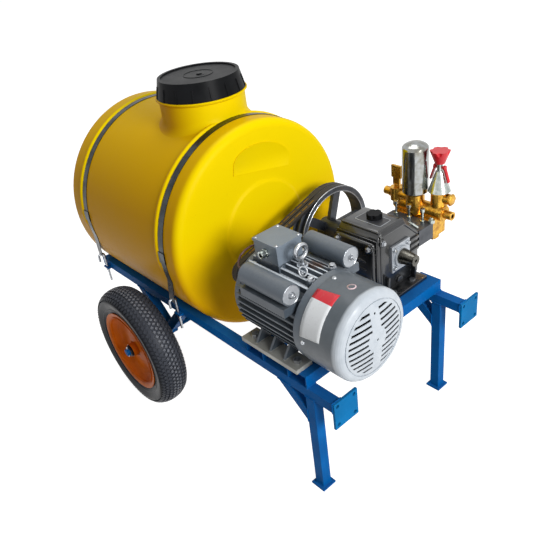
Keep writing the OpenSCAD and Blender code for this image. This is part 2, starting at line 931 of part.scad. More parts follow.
module motor_frame() {
    web_top = -46;
    foot_web = [[-foot_y - foot_w / 2 + 6, -motor_axis_h + foot_t_motor], [-foot_y + 14, web_top],
                [-frame_r * 0.55, web_top - 12], [-frame_r * 0.4, -motor_axis_h + foot_t_motor + 8],
                [-foot_y + foot_w / 2, -motor_axis_h + foot_t_motor]];
    web_len = 6;
    web_inset = 46;
    color("slategray") at_motor() difference() {
        union() {
            bar_x(frame_x0, frame_x1, frame_r);
            intersection() {
                union() {
                    for (row = [0:fin_rows - 1])
                        block([frame_x0, -fin_d / 2, fin_top_z - row * fin_pitch - fin_t / 2],
                              [frame_x1, fin_d / 2, fin_top_z - row * fin_pitch + fin_t / 2]);
                    for (row = [-top_fin_rows:top_fin_rows])
                        block([frame_x0, row * top_fin_pitch - fin_t / 2, 0],
                              [frame_x1, row * top_fin_pitch + fin_t / 2, fin_d / 2]);
                }
                bar_x(frame_x0, frame_x1, fin_d / 2);
            }
            // pads under the terminal box, the eye bolt and the two capacitor covers
            block([box_x0, box_y0, 0], [box_x0 + box_len, box_y0 + box_w, box_floor_z]);
            translate([eye_x, 0, 0]) bar_z(0, top_z, eye_collar_r + 3);
            block([can_right_x0, can_right_y - can_cover_r, can_right_z - can_cover_r - can_pad_h],
                  [can_right_x0 + can_right_len, can_right_y + can_cover_r, can_right_z - can_cover_r]);
            block([can_left_x0, can_left_y - can_cover_r, can_left_z - can_cover_r - can_pad_h],
                  [can_left_x0 + can_left_len, can_left_y + can_cover_r, can_left_z - can_cover_r]);
            mirrored_y() {
                block([foot_x0, -foot_y - foot_w / 2, -motor_axis_h],
                      [foot_x0 + foot_len, -foot_y + foot_w / 2, -motor_axis_h + foot_t_motor]);
                for (x = [foot_x0 + web_inset, foot_x0 + foot_len / 2, foot_x0 + foot_len - web_inset])
                    translate([x - web_len / 2, 0, 0]) rotate([90, 0, 90])
                        linear_extrude(web_len) polygon(foot_web);
            }
        }
        bar_x(frame_x0 - cut, frame_x1 + cut, stator_r);
        for (x = [shaft_to_hole, shaft_to_hole + motor_foot_b], side = [-1, 1])
            translate([x, side * foot_y, 0])
                bar_z(-motor_axis_h - cut, -motor_axis_h + foot_t_motor + cut, motor_foot_hole_d / 2);
    }
}

module end_shields() {
    color("slategray") at_motor() {
        difference() {
            union() {
                bar_x(frame_x0 - shield_t, frame_x0, frame_r + 3);
                bar_x(frame_x0, frame_x0 + 6, stator_r);
                bar_x(6, frame_x0 - shield_t, 50);
            }
            bar_x(0, frame_x0 + 8, bearing_shaft_r + 3);
            bar_x(frame_x0 - shield_t, frame_x0 + 8, bearing_r);
        }
        difference() {
            union() {
                bar_x(frame_x1, fan_cover_start + 6, fan_cover_d / 2 - cover_sheet);
                bar_x(frame_x1 - 6, frame_x1, stator_r);
            }
            bar_x(frame_x1 - 8, fan_cover_start + 8, bearing_shaft_r + 3);
            bar_x(frame_x1 - 8, frame_x1 + bearing_w, bearing_r);
        }
    }
}

module motor_bearings() {
    color("silver") at_motor() for (x = [frame_x0 - shield_t, frame_x1])
        difference() {
            bar_x(x, x + bearing_w, bearing_r);
            bar_x(x - cut, x + bearing_w + cut, bearing_shaft_r + run);
        }
}

module stator() {
    winding_len = 14;
    color("peru") at_motor() difference() {
        union() {
            bar_x(stator_x, stator_x + stator_len, stator_r);
            bar_x(stator_x - winding_len, stator_x + stator_len + winding_len, stator_r - 4);
        }
        bar_x(stator_x - winding_len - cut, stator_x + stator_len + winding_len + cut, bore_r + rotor_air_gap);
    }
}

module rotor() {
    color("silver") at_motor() {
        bar_x(-motor_shaft_len, 0, motor_shaft_d / 2);
        bar_x(0, fan_x - 4, bearing_shaft_r);
        bar_x(stator_x, stator_x + stator_len, bore_r);
        bar_x(fan_x - 4, fan_x + 16, fan_shaft_r);
    }
}

module cooling_fan() {
    color("dimgray") at_motor() difference() {
        union() {
            bar_x(fan_x, fan_x + 20, fan_hub_r);
            bar_x(fan_x, fan_x + 3, fan_r);
            for (i = [0:fan_blades - 1]) rotate([360 * i / fan_blades, 0, 0])
                block([fan_x, fan_hub_r - 4, -1.5], [fan_x + fan_blade_w, fan_r, 1.5]);
        }
        bar_x(fan_x - cut, fan_x + 16, fan_shaft_r);
    }
}

// Half section of the fan cover's outer or inner face, along the shaft
module cover_outline(inset) {
    r = fan_cover_d / 2 - inset;
    disc_r = grille_r - inset;
    lip_inner_r = grille_r + grille_groove + inset;
    nose = fan_cover_start + fan_cover_len - grille_dome - inset;
    round_r = cover_round - inset;
    steps = 5;
    corner = [for (i = [0:steps]) [r - round_r + round_r * cos(90 * i / steps),
                                   nose - round_r + round_r * sin(90 * i / steps)]];
    dome = [for (i = [0:steps]) [disc_r * (1 - i / steps),
                                 nose + grille_dome * (1 - pow(1 - i / steps, 2))]];
    polygon(concat([[0, fan_cover_start], [r, fan_cover_start]], corner,
                   [[lip_inner_r, nose], [lip_inner_r, nose - grille_groove], [disc_r, nose - grille_groove]],
                   dome));
}

module fan_cover() {
    slot_x0 = fan_cover_start + fan_cover_len - grille_dome - 6;
    color("lightgray") at_motor() difference() {
        rotate([0, 90, 0]) rotate_extrude() cover_outline(0);
        rotate([0, 90, 0]) rotate_extrude() cover_outline(cover_sheet);
        translate([fan_cover_start - cut, 0, 0]) bar_x(0, 2 * cut, fan_cover_d / 2 - cover_sheet);
        difference() {
            intersection() {
                for (row = [0:slot_rows - 1], side = [-1, 1]) {
                    z = (row - (slot_rows - 1) / 2) * slot_pitch;
                    y = side * (slot_mid + slot_outer_r) / 2;
                    half = (slot_outer_r - slot_mid) / 2;
                    block([slot_x0, y - half, z - slot_h / 2], [slot_x0 + 30, y + half, z + slot_h / 2]);
                }
                bar_x(slot_x0 - cut, slot_x0 + 40, slot_outer_r);
            }
            bar_x(slot_x0 - cut, slot_x0 + 40, slot_inner_r);
        }
        bar_x(slot_x0, slot_x0 + 40, 2.5);
        translate([0, 0, slot_rows / 2 * slot_pitch - 12]) bar_x(slot_x0, slot_x0 + 40, 2.5);
    }
}

module terminal_box() {
    color("slategray") at_motor() difference() {
        block([box_x0, box_y0, box_floor_z], [box_x0 + box_len, box_y0 + box_w, box_floor_z + box_h - lid_t]);
        block([box_x0 + box_sheet, box_y0 + box_sheet, box_floor_z + box_sheet],
              [box_x0 + box_len - box_sheet, box_y0 + box_w - box_sheet, box_floor_z + box_h]);
        translate([gland_x, 0, gland_z]) bar_y(box_y0 - cut, box_y0 + box_sheet + cut, gland_bore_r + 2);
    }
}

module terminal_lid() {
    z = box_floor_z + box_h - lid_t;
    color("gray") at_motor()
        block([box_x0 - lid_over, box_y0 - lid_over, z],
              [box_x0 + box_len + lid_over, box_y0 + box_w + lid_over, z + lid_t]);
}

module cable_gland() {
    color("silver") at_motor() translate([gland_x, box_y0, gland_z]) rotate([90, 0, 0]) difference() {
        union() {
            hexagon(2 * gland_r + 4, 5);
            bar_z(-box_sheet, 5, gland_bore_r + 2);
            bar_z(5, gland_len, gland_r);
        }
        bar_z(-box_sheet - cut, gland_len + cut, gland_bore_r);
    }
}

// Places of the two capacitors, each at its rear end's centre
module at_capacitors() {
    at_motor() translate([can_right_x0, can_right_y, can_right_z]) children(0);
    at_motor() translate([can_left_x0, can_left_y, can_left_z]) children(1);
}

module capacitor(len) {
    bar_x(can_cover_t + 2, len, can_r);
    bar_x(len, len + can_disc_t, can_cover_r - can_cover_t - gap);
    bar_x(len + can_disc_t, len + can_disc_t + 6, can_stud_r);
}

module capacitors() {
    color("silver") at_capacitors() {
        capacitor(can_right_len - can_disc_t);
        capacitor(can_left_len - can_disc_t);
    }
}

module capacitor_cover(len) {
    difference() {
        bar_x(0, len, can_cover_r);
        bar_x(can_cover_t, len + cut, can_cover_r - can_cover_t);
    }
}

module capacitor_covers() {
    color("slategray") at_capacitors() {
        capacitor_cover(can_right_len);
        capacitor_cover(can_left_len);
    }
}

// Points along the lead from the terminal box round to the rear end of the right capacitor's cover
lead_path = [[box_x0, -20, 118], [box_x0 - 8, -20, 118], [40, -24, 117], [33, -33, 114], [28, -45, 109],
             [27, -58, 102], [32, -70, 95], [43, -79, 90], [58, can_right_y, can_right_z],
             [can_right_x0, can_right_y, can_right_z]];

// One ring of a swept tube, square to its path at point i
function path_tangent(path, i) =
    let (a = path[max(i - 1, 0)], b = path[min(i + 1, len(path) - 1)], d = b - a) d / norm(d);
function ring(path, i, r) =
    let (t = path_tangent(path, i), u = cross(t, [1, 0, 0.2]), n = u / norm(u), b = cross(t, n))
    [for (k = [0:lead_sides - 1]) path[i] + r * (cos(360 * k / lead_sides) * n + sin(360 * k / lead_sides) * b)];

module swept_tube(path, r) {
    n = len(path);
    points = [for (i = [0:n - 1]) for (p = ring(path, i, r)) p];
    sides = [for (i = [0:n - 2]) for (k = [0:lead_sides - 1])
        let (a = i * lead_sides + k, b = i * lead_sides + (k + 1) % lead_sides)
        each [[a, b, b + lead_sides], [a, b + lead_sides, a + lead_sides]]];
    first = [for (k = [1:lead_sides - 2]) [0, k + 1, k]];
    last_start = (n - 1) * lead_sides;
    last = [for (k = [1:lead_sides - 2]) [last_start, last_start + k, last_start + k + 1]];
    polyhedron(points, concat(sides, first, last));
}

module capacitor_lead() {
    color("saddlebrown") at_motor() swept_tube(lead_path, lead_r);
}

module eye_bolt() {
    color("silver") at_motor() translate([eye_x, 0, top_z]) {
        cylinder(h = eye_stem_h / 2, r = eye_collar_r);
        cylinder(h = eye_stem_h + eye_wire_r, r = eye_wire_r + 1);
        translate([0, 0, eye_stem_h + eye_ring_r]) rotate([90, 0, 90])
            rotate_extrude() translate([eye_ring_r - eye_wire_r, 0]) circle(r = eye_wire_r);
    }
}

// A bolt down through the deck with its nut under the channel's web
module deck_bolt(d, head, head_h, clamped) {
    rotate([0, 0, 30]) {
        bar_z(-clamped - head_h - bolt_end, 0, d / 2);
        hexagon(head, head_h);
        translate([0, 0, -clamped - head_h]) hexagon(head, head_h);
    }
}

module foot_bolts() {
    color("silver") {
        for (x = [shaft_to_hole, shaft_to_hole + motor_foot_b], side = [-1, 1])
            at_motor() translate([x, side * foot_y, -motor_axis_h + foot_t_motor])
                deck_bolt(m10_d, m10_head, m10_head_h, foot_t_motor + channel_t);
        for (x = [base_hole_rear, base_hole_front], y = [base_hole_right, base_hole_left])
            at_pump() translate([x, y, case_bottom]) deck_bolt(m8_d, m8_head, m8_head_h, skid_t + channel_t);
    }
}

// ---------- belt drive ----------

// Half section of a groove that clears a belt by groove_clear, with the belt's back at radius r
module groove_section(r) {
    half_top = belt_w / 2 + groove_clear;
    half_bottom = belt_bottom_w / 2 + groove_clear;
    flare = (half_top - half_bottom) / belt_t;
    polygon([[r - belt_t - groove_clear, -half_bottom], [r - belt_t - groove_clear, half_bottom],
             [r + belt_over, half_top + flare * belt_over], [r + belt_over, -half_top - flare * belt_over]]);
}

// Centres of the two belts across the pulleys
belt_places = [-belt_pitch / 2, belt_pitch / 2];

module pump_pulley() {
    r = pump_pulley_d / 2;
    rim_in = r - pulley_rim_t;
    color("dimgray") translate([pulley_mid_x, crank_offset, pump_z]) rotate([0, 90, 0]) difference() {
        union() {
            rotate_extrude() difference() {
                translate([rim_in, -pulley_w / 2]) square([pulley_rim_t, pulley_w]);
                for (y = belt_places) translate([0, y]) groove_section(pump_belt_r);
            }
            bar_z(-pulley_w / 2, pulley_hub_len - pulley_w / 2, pulley_hub_r);
            for (i = [0:spoke_count - 1]) rotate([0, 0, 360 * i / spoke_count + 18])
                block([pulley_hub_r / 2, -spoke_w / 2, -pulley_web_t / 2], [rim_in + 2, spoke_w / 2, pulley_web_t / 2]);
        }
        bar_z(-pulley_w, pulley_hub_len, crank_d / 2);
    }
}

module motor_pulley() {
    r = motor_pulley_d / 2;
    color("dimgray") translate([pulley_mid_x, -motor_offset, motor_z]) rotate([0, 90, 0])
        rotate_extrude() difference() {
            translate([motor_shaft_d / 2, -pulley_w / 2]) square([r - motor_shaft_d / 2, pulley_w]);
            for (y = belt_places) translate([0, y]) groove_section(motor_belt_r);
        }
}

// Corners of a belt's section with its back at radius r from a centre, in direction a
function belt_ring(centre, r, a) = [
    for (p = [[r - belt_t, -belt_bottom_w / 2], [r - belt_t, belt_bottom_w / 2], [r, belt_w / 2], [r, -belt_w / 2]])
        [centre + p[0] * cos(a), p[0] * sin(a), p[1]]
];

// One endless belt in the plane of both shafts, motor at the origin and pump along +X
module belt() {
    steps = 30;
    motor_turn = 180 - 2 * belt_wrap;
    pump_turn = 180 + 2 * belt_wrap;
    rings = concat(
        [for (i = [0:steps]) belt_ring(0, motor_belt_r, 90 + belt_wrap + motor_turn * i / steps)],
        [for (i = [0:steps]) belt_ring(belt_span, pump_belt_r, -90 - belt_wrap + pump_turn * i / steps)]
    );
    n = len(rings);
    faces = [for (i = [0:n - 1]) for (k = [0:3])
        let (a = 4 * i + k, b = 4 * i + (k + 1) % 4, c = (4 * (i + 1) + (k + 1) % 4) % (4 * n),
             d = (4 * (i + 1) + k) % (4 * n))
        each [[a, b, c], [a, c, d]]];
    polyhedron([for (ring = rings) for (p = ring) p], faces);
}

module drive_belts() {
    color("black") for (x = belt_places)
        translate([pulley_mid_x + x, -motor_offset, motor_z]) rotate([belt_tilt, 0, 0])
            rotate([0, 90, 0]) rotate([0, 0, 90]) belt();
}

// ---------- pump ----------

// End view of the crankcase, drawn in by a margin for its hollow
module case_outline(margin) {
    y0 = case_y0 + margin;
    y1 = case_y1 - margin;
    z0 = case_bottom + margin;
    z1 = case_top - margin;
    polygon([[y0, z0], [y0, z1 - small_chamfer], [y0 + small_chamfer, z1],
             [y1 - chamfer_y, z1], [y1, z1 - chamfer_z], [y1, z0]]);
}

module crankcase() {
    half = case_len / 2;
    rib_z = 40;
    color("dimgray") at_pump() difference() {
        union() {
            translate([-half, 0, 0]) rotate([90, 0, 90]) linear_extrude(case_len) case_outline(0);
            block([skid_x0, skid_y0, -crank_h], [skid_x1, skid_y1, case_bottom]);
            for (y = [base_hole_right - 12, base_hole_left + 12])
                block([half, y - front_rib_t / 2, case_bottom], [half + 10, y + front_rib_t / 2, -rib_z]);
            for (z = [10, 26, 42]) block([half, flange_w / 2 + 4, z - 22], [half + 4, case_y1 - 4, z - 14]);
        }
        translate([-half + case_wall, 0, 0]) rotate([90, 0, 90])
            linear_extrude(case_len - 2 * case_wall) case_outline(case_wall);
        bar_x(-half - cut, half + cut, flange_boss_r);
        for (x = [-1:1]) translate([x * plunger_pitch, 0, 0]) bar_y(0, case_y1 + cut, crosshead_r + 1);
        block([-half + case_wall * 2, case_y0 - cut, case_bottom + case_wall * 2],
              [half - case_wall * 2, case_y0 + case_wall + cut, case_top - case_wall * 4]);
        for (x = [base_hole_rear, base_hole_front], y = [base_hole_right, base_hole_left])
            translate([x, y, 0]) bar_z(-crank_h - cut, case_bottom + cut, base_hole_d / 2);
        translate([oil_x, oil_y, 0]) bar_z(case_top - case_wall - cut, case_top + cut, oil_neck_r);
    }
}

module side_cover() {
    half = case_len / 2 - 2;
    z0 = case_bottom + 6;
    z1 = case_top - small_chamfer - 4;
    color("dimgray") at_pump() {
        block([-half, case_y0 - side_cover_t, z0], [half, case_y0, z1]);
        for (x = [-half + 10, half - 10], z = [z0 + 10, z1 - 10])
            translate([x, 0, z]) bar_y(case_y0 - side_cover_t - cover_bolt_h, case_y0 - side_cover_t, cover_bolt_r);
    }
}

// Square plate with a round seal boss, drawn on Z = 0 facing +Z
module bearing_flange() {
    difference() {
        union() {
            block([-flange_h / 2, -flange_w / 2, 0], [flange_h / 2, flange_w / 2, flange_t]);
            bar_z(-case_wall, 0, flange_boss_r - run);
            bar_z(flange_t, flange_t + flange_boss_t, flange_boss_r);
            for (u = [-1, 1], v = [-1, 1])
                translate([u * flange_bolt_pitch / 2, v * flange_bolt_pitch / 2, flange_t]) hexagon(10, 4);
        }
        bar_z(-case_wall - cut, flange_t + flange_boss_t + cut, crank_d / 2 + run);
    }
}

module bearing_flanges() {
    color("silver") at_pump() {
        translate([case_len / 2, 0, 0]) rotate([0, 90, 0]) bearing_flange();
        translate([-case_len / 2, 0, 0]) rotate([0, -90, 0]) bearing_flange();
    }
}

module crankshaft() {
    half = case_len / 2;
    seal_x = half + flange_t + flange_boss_t + gap;
    rear_x = pulley_mid_x - pulley_w / 2 - crank_rear_past - pump_x;
    color("silver") at_pump() difference() {
        union() {
            bar_x(rear_x, seal_x + 1, crank_d / 2);
            translate([seal_x, 0, 0]) rotate([0, 90, 0])
                cylinder(h = crank_cone_len, r1 = crank_collar_r, r2 = crank_d / 2 + 1);
            bar_x(seal_x, crank_front, crank_d / 2 + 1);
            for (i = [-1:1]) rotate([120 * i, 0, 0]) translate([0, throw, 0])
                bar_x(i * plunger_pitch - throw_w / 2, i * plunger_pitch + throw_w / 2, throw_r);
        }
        bar_x(crank_front - 12, crank_front + cut, 4);
    }
}

module plungers() {
    color("silver") at_pump() for (i = [-1:1]) translate([i * plunger_pitch, 0, 0]) {
        bar_y(crosshead_y0, crosshead_y0 + crosshead_len, crosshead_r);
        bar_y(crosshead_y0, plunger_end, plunger_d / 2);
    }
}

module oil_cap() {
    color("black") at_pump() translate([oil_x, oil_y, case_top]) {
        bar_z(-case_wall, oil_neck_h, oil_neck_r - gap);
        difference() {
            bar_z(0, oil_knob_h, oil_knob_r);
            for (i = [0:5]) rotate([0, 0, 60 * i]) translate([oil_knob_r + 2, 0, 0]) bar_z(4, oil_knob_h + cut, 5);
        }
    }
}

// Framed window on the slanted top edge of the crankcase
module level_window() {
    slope = atan2(chamfer_z, chamfer_y);
    color("silver") at_pump() translate([window_x, case_y1 - chamfer_y / 2, case_top - chamfer_z / 2])
        rotate([-slope, 0, 0]) difference() {
            block([-window_w / 2, 4, 0], [window_w / 2, 4 + window_h, window_t]);
            block([-window_w / 2 + 6, 10, window_t - 2], [window_w / 2 - 6, 4 + window_h - 6, window_t + cut]);
        }
}

module cylinder_block() {
    color("dimgray") at_pump() difference() {
        block([-case_len / 2, case_y1, block_z0], [case_len / 2, block_y1, block_z1]);
        for (i = [-1:1]) translate([i * plunger_pitch, 0, 0])
            bar_y(case_y1 - cut, block_y1 + cut, plunger_d / 2 + plunger_run);
    }
}

module valve_block() {
    color("goldenrod") at_pump() difference() {
        union() {
            block([-case_len / 2, block_y1, plate_z0], [case_len / 2, plate_y1, plate_z1]);
            block([-case_len / 2 + 4, plate_y1, valve_z0], [case_len / 2 - 4, valve_y1, valve_z1]);
            for (i = [-1:1]) translate([i * plunger_pitch, gallery_y, 0]) bar_z(valve_z0 - 10, valve_z0, 15);
            translate([0, gallery_y, gallery_z]) {
                bar_x(gallery_x0, gallery_x1, gallery_r);
                bar_x(gallery_x1, nozzle_x, nozzle_r);
            }
            translate([riser_x, riser_y, 0]) bar_z(valve_z1, riser_top, riser_r);
            translate([0, riser_y, arm_z]) {
                bar_x(outlet_x, outlet_x + outlet_len, nozzle_r);
                bar_x(outlet_x + outlet_len, riser_x, arm_r);
            }
            translate([cock_x, riser_y, 0]) bar_z(arm_z - cock_r, cock_top, cock_r);
            translate([reg_x, reg_y, 0]) bar_z(valve_z1, reg_body_top, reg_r);
            translate([0, reg_y, side_port_z]) bar_x(reg_x, reg_x + side_port_len, nozzle_r + 2);
        }
        for (i = [-1:1]) translate([i * plunger_pitch, 0, 0])
            bar_y(block_y1 - cut, plunger_end + 2, plunger_d / 2 + plunger_run);
        translate([0, gallery_y, gallery_z]) bar_x(nozzle_x - nozzle_bore_len, nozzle_x + cut, nozzle_bore_r);
        translate([0, reg_y, side_port_z])
            bar_x(reg_x + side_port_len - nozzle_bore_len / 2, reg_x + side_port_len + cut, nozzle_bore_r);
        translate([0, riser_y, arm_z]) bar_x(outlet_x - cut, outlet_x + nozzle_bore_len, nozzle_bore_r);
    }
}

module air_chamber() {
    r = chamber_d / 2;
    dome = 16;
    steps = 6;
    color("silver") at_pump() translate([riser_x, riser_y, riser_top]) rotate_extrude() polygon(concat(
        [[0, 0], [r - 6, 0], [r, 6]],
        [for (i = [0:steps]) [r * cos(90 * i / steps), chamber_h - dome + dome * sin(90 * i / steps)]]));
}

module regulator() {
    color("silver") at_pump() translate([reg_x, reg_y, 0]) {
        translate([0, 0, reg_body_top]) cylinder(h = bonnet_top - reg_body_top, r1 = bonnet_r, r2 = bonnet_top_r);
        difference() {
            bar_z(bonnet_top, reg_stem_top, reg_stem_r);
            translate([0, 0, reg_pivot_z]) bar_x(-reg_stem_r - cut, reg_stem_r + cut, lever_pin_r + run);
        }
        bar_z(reg_stem_top, knob_z0 + knob_h - 6, reg_stem_r - 2);
    }
}

module pressure_knob() {
    color("red") at_pump() translate([reg_x, reg_y, knob_z0]) difference() {
        cylinder(h = knob_h, r1 = knob_r * knob_waist, r2 = knob_r);
        for (i = [0:knob_lobes - 1]) rotate([0, 0, 360 * i / knob_lobes])
            translate([knob_r + 6, 0, 0]) bar_z(-cut, knob_h + cut, 10);
        bar_z(-cut, reg_stem_top - knob_z0 + gap, reg_stem_r + gap);
        bar_z(-cut, knob_h - 6 + gap, reg_stem_r - 2 + run);
    }
}

// Fork that straddles the bonnet's stem on a cross pin, with legs splayed along the bonnet's cone
module relief_lever() {
    reach = lever_inner + lever_leg_w;
    color("red") at_pump() translate([reg_x, reg_y, reg_pivot_z]) {
        bar_x(-lever_inner - cut, lever_inner + cut, lever_pin_r);
        for (side = [0, 1]) mirror([side, 0, 0]) {
            bar_x(lever_inner, reach, lever_hub_r);
            translate([lever_inner + lever_hub_over, 0, 0]) rotate([0, -lever_splay, 0])
                block([0, -lever_leg_t / 2, -lever_leg_len], [lever_leg_w - 2 * lever_hub_over, lever_leg_t / 2, 0]);
        }
    }
}

module outlet_handle() {
    color("goldenrod") at_pump() translate([cock_x, riser_y, cock_top]) {
        bar_z(0, wing_stem_h, wing_stem_r);
        block([-wing_w / 3, -wing_t / 2, wing_stem_h - 2], [wing_w / 3, wing_t / 2, wing_h * 0.6]);
        block([-wing_w / 2, -wing_t / 2, wing_h * 0.5], [wing_w / 2, wing_t / 2, wing_h + wing_stem_h]);
    }
}

module grease_cups() {
    color("silver") at_pump() for (i = [-1:1]) translate([i * plunger_pitch, cup_y, block_z1]) {
        bar_z(0, cup_h, cup_stem_r);
        bar_z(cup_h - cup_t, cup_h, cup_r);
        bar_z(0, 6, cup_r);
    }
}

side_rails();
front_channel();
rear_channel();
front_legs();
leg_feet();
leg_braces();
hitch_plates();
axle_arms();
axle();
strap_lugs();
rim_right();
rim_left();
tyre_right();
tyre_left();
hub_bushes_right();
hub_bushes_left();
axle_washers();
split_pins();
tank_shell();
tank_cap();
cap_gasket();
strainer_basket();
strap_front();
strap_rear();
strap_clips();
hook_bolts();
hook_nuts();
motor_frame();
end_shields();
stator();
rotor();
motor_bearings();
cooling_fan();
fan_cover();
terminal_box();
terminal_lid();
cable_gland();
capacitors();
capacitor_covers();
capacitor_lead();
eye_bolt();
foot_bolts();
motor_pulley();
drive_belts();
crankcase();
side_cover();
bearing_flanges();
crankshaft();
plungers();
pump_pulley();
oil_cap();
level_window();
cylinder_block();
valve_block();
air_chamber();
regulator();
pressure_knob();
relief_lever();
outlet_handle();
grease_cups();
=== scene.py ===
import json
import math
import bpy
import bmesh
from mathutils import Matrix, Vector


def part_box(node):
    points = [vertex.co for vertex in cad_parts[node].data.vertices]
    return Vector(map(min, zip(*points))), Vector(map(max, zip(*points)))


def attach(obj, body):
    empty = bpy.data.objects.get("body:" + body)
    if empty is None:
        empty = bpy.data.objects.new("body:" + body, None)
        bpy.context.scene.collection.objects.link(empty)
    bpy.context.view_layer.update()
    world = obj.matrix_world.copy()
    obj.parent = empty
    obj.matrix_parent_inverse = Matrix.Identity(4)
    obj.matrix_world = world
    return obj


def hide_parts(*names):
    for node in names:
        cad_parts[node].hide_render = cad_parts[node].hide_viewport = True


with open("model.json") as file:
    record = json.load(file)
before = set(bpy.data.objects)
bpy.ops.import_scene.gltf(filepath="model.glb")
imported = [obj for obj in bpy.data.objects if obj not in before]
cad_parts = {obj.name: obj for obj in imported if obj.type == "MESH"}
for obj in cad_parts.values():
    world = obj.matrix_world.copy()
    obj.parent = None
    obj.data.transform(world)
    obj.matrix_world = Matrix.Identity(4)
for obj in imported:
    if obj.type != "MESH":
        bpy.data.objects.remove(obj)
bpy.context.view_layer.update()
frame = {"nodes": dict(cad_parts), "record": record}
nodes = frame["nodes"]
print("frame loaded:", len(nodes), "nodes")

shift = Matrix.Translation

# Places of the assemblies in millimetres, as the drawing has them
motorAt = Vector((155.0, -139.0, 436.0))
pumpAt = Vector((277.5, 147.0, 430.0))
axleAt = Vector((-192.0, 0.0, 175.5))
tankFront = 30.0
tankLevel = 475.05
neckX = -154.0
neckTop = 800.05
capLevel = 844.55
wheelOut = 324.5
railTop = 305.0


def linear(hexColour):
    parts = [int(hexColour[i:i + 2], 16) / 255 for i in (1, 3, 5)]
    return tuple(p / 12.92 if p <= 0.04045 else ((p + 0.055) / 1.055) ** 2.4 for p in parts) + (1.0,)


def perMetre(millimetres):
    return 1000.0 / millimetres


def addNode(tree, kind, values=None, links=None, output=0):
    # adds a node, sets its values, joins its inputs and gives back one of its outputs; a Mix node mixes colours
    node = tree.nodes.new("ShaderNode" + kind)
    if kind == "Mix":
        node.data_type, output = "RGBA", 2
    for key, value in (values or {}).items():
        if isinstance(key, int) or key in node.inputs:
            node.inputs[key].default_value = linear(value) if str(value).startswith("#") else value
        else:
            setattr(node, key, value)
    for key, source in (links or {}).items():
        tree.links.new(source, node.inputs[key])
    return node.outputs[output] if node.outputs else node


def emptyTree(owner):
    owner.use_nodes = True
    owner.node_tree.nodes.clear()
    return owner.node_tree


def linkObject(name, data):
    made = bpy.data.objects.new(name, data)
    bpy.context.scene.collection.objects.link(made)
    return made


def startFinish(name, *noises, streak=None):
    # a surface, the place on the object and one noise for each size in millimetres, detail and roughness
    finish = bpy.data.materials.new(name)
    tree = emptyTree(finish)
    surface = addNode(tree, "BsdfPrincipled")
    addNode(tree, "OutputMaterial", None, {"Surface": surface})
    place = addNode(tree, "TexCoord", output="Object")
    drawn = addNode(tree, "Mapping", {"Scale": streak}, {"Vector": place}) if streak else place
    patterns = [addNode(tree, "TexNoise", {"Scale": perMetre(size), "Detail": detail, "Roughness": rough},
                        {"Vector": drawn}) for size, detail, rough in noises]
    return finish, tree, surface.node, place, patterns


def endFinish(tree, shader, colour, wear, height, spec, under=None):
    # joins colour, gloss and relief to the surface; a spec with an edge has its sharp edges rounded
    low, high = spec.get("worn", (0.3, 0.8))
    gloss = addNode(tree, "MapRange", {"From Min": low, "From Max": high, "To Min": spec["rough"],
                                       "To Max": spec["rough"] + spec["spread"]}, {"Value": wear})
    tree.links.new(colour, shader.inputs["Base Color"])
    tree.links.new(gloss, shader.inputs["Roughness"])
    if "edge" in spec:
        under = addNode(tree, "Bevel", {"samples": 4, "Radius": spec["edge"] * 0.001})
    links = {"Height": height} if under is None else {"Height": height, "Normal": under}
    relief = addNode(tree, "Bump", {"Strength": spec["relief"], "Distance": spec["depth"] * 0.001}, links)
    tree.links.new(relief, shader.inputs["Normal"])
    for key, value in spec.get("shader", {}).items():
        shader.inputs[key].default_value = value


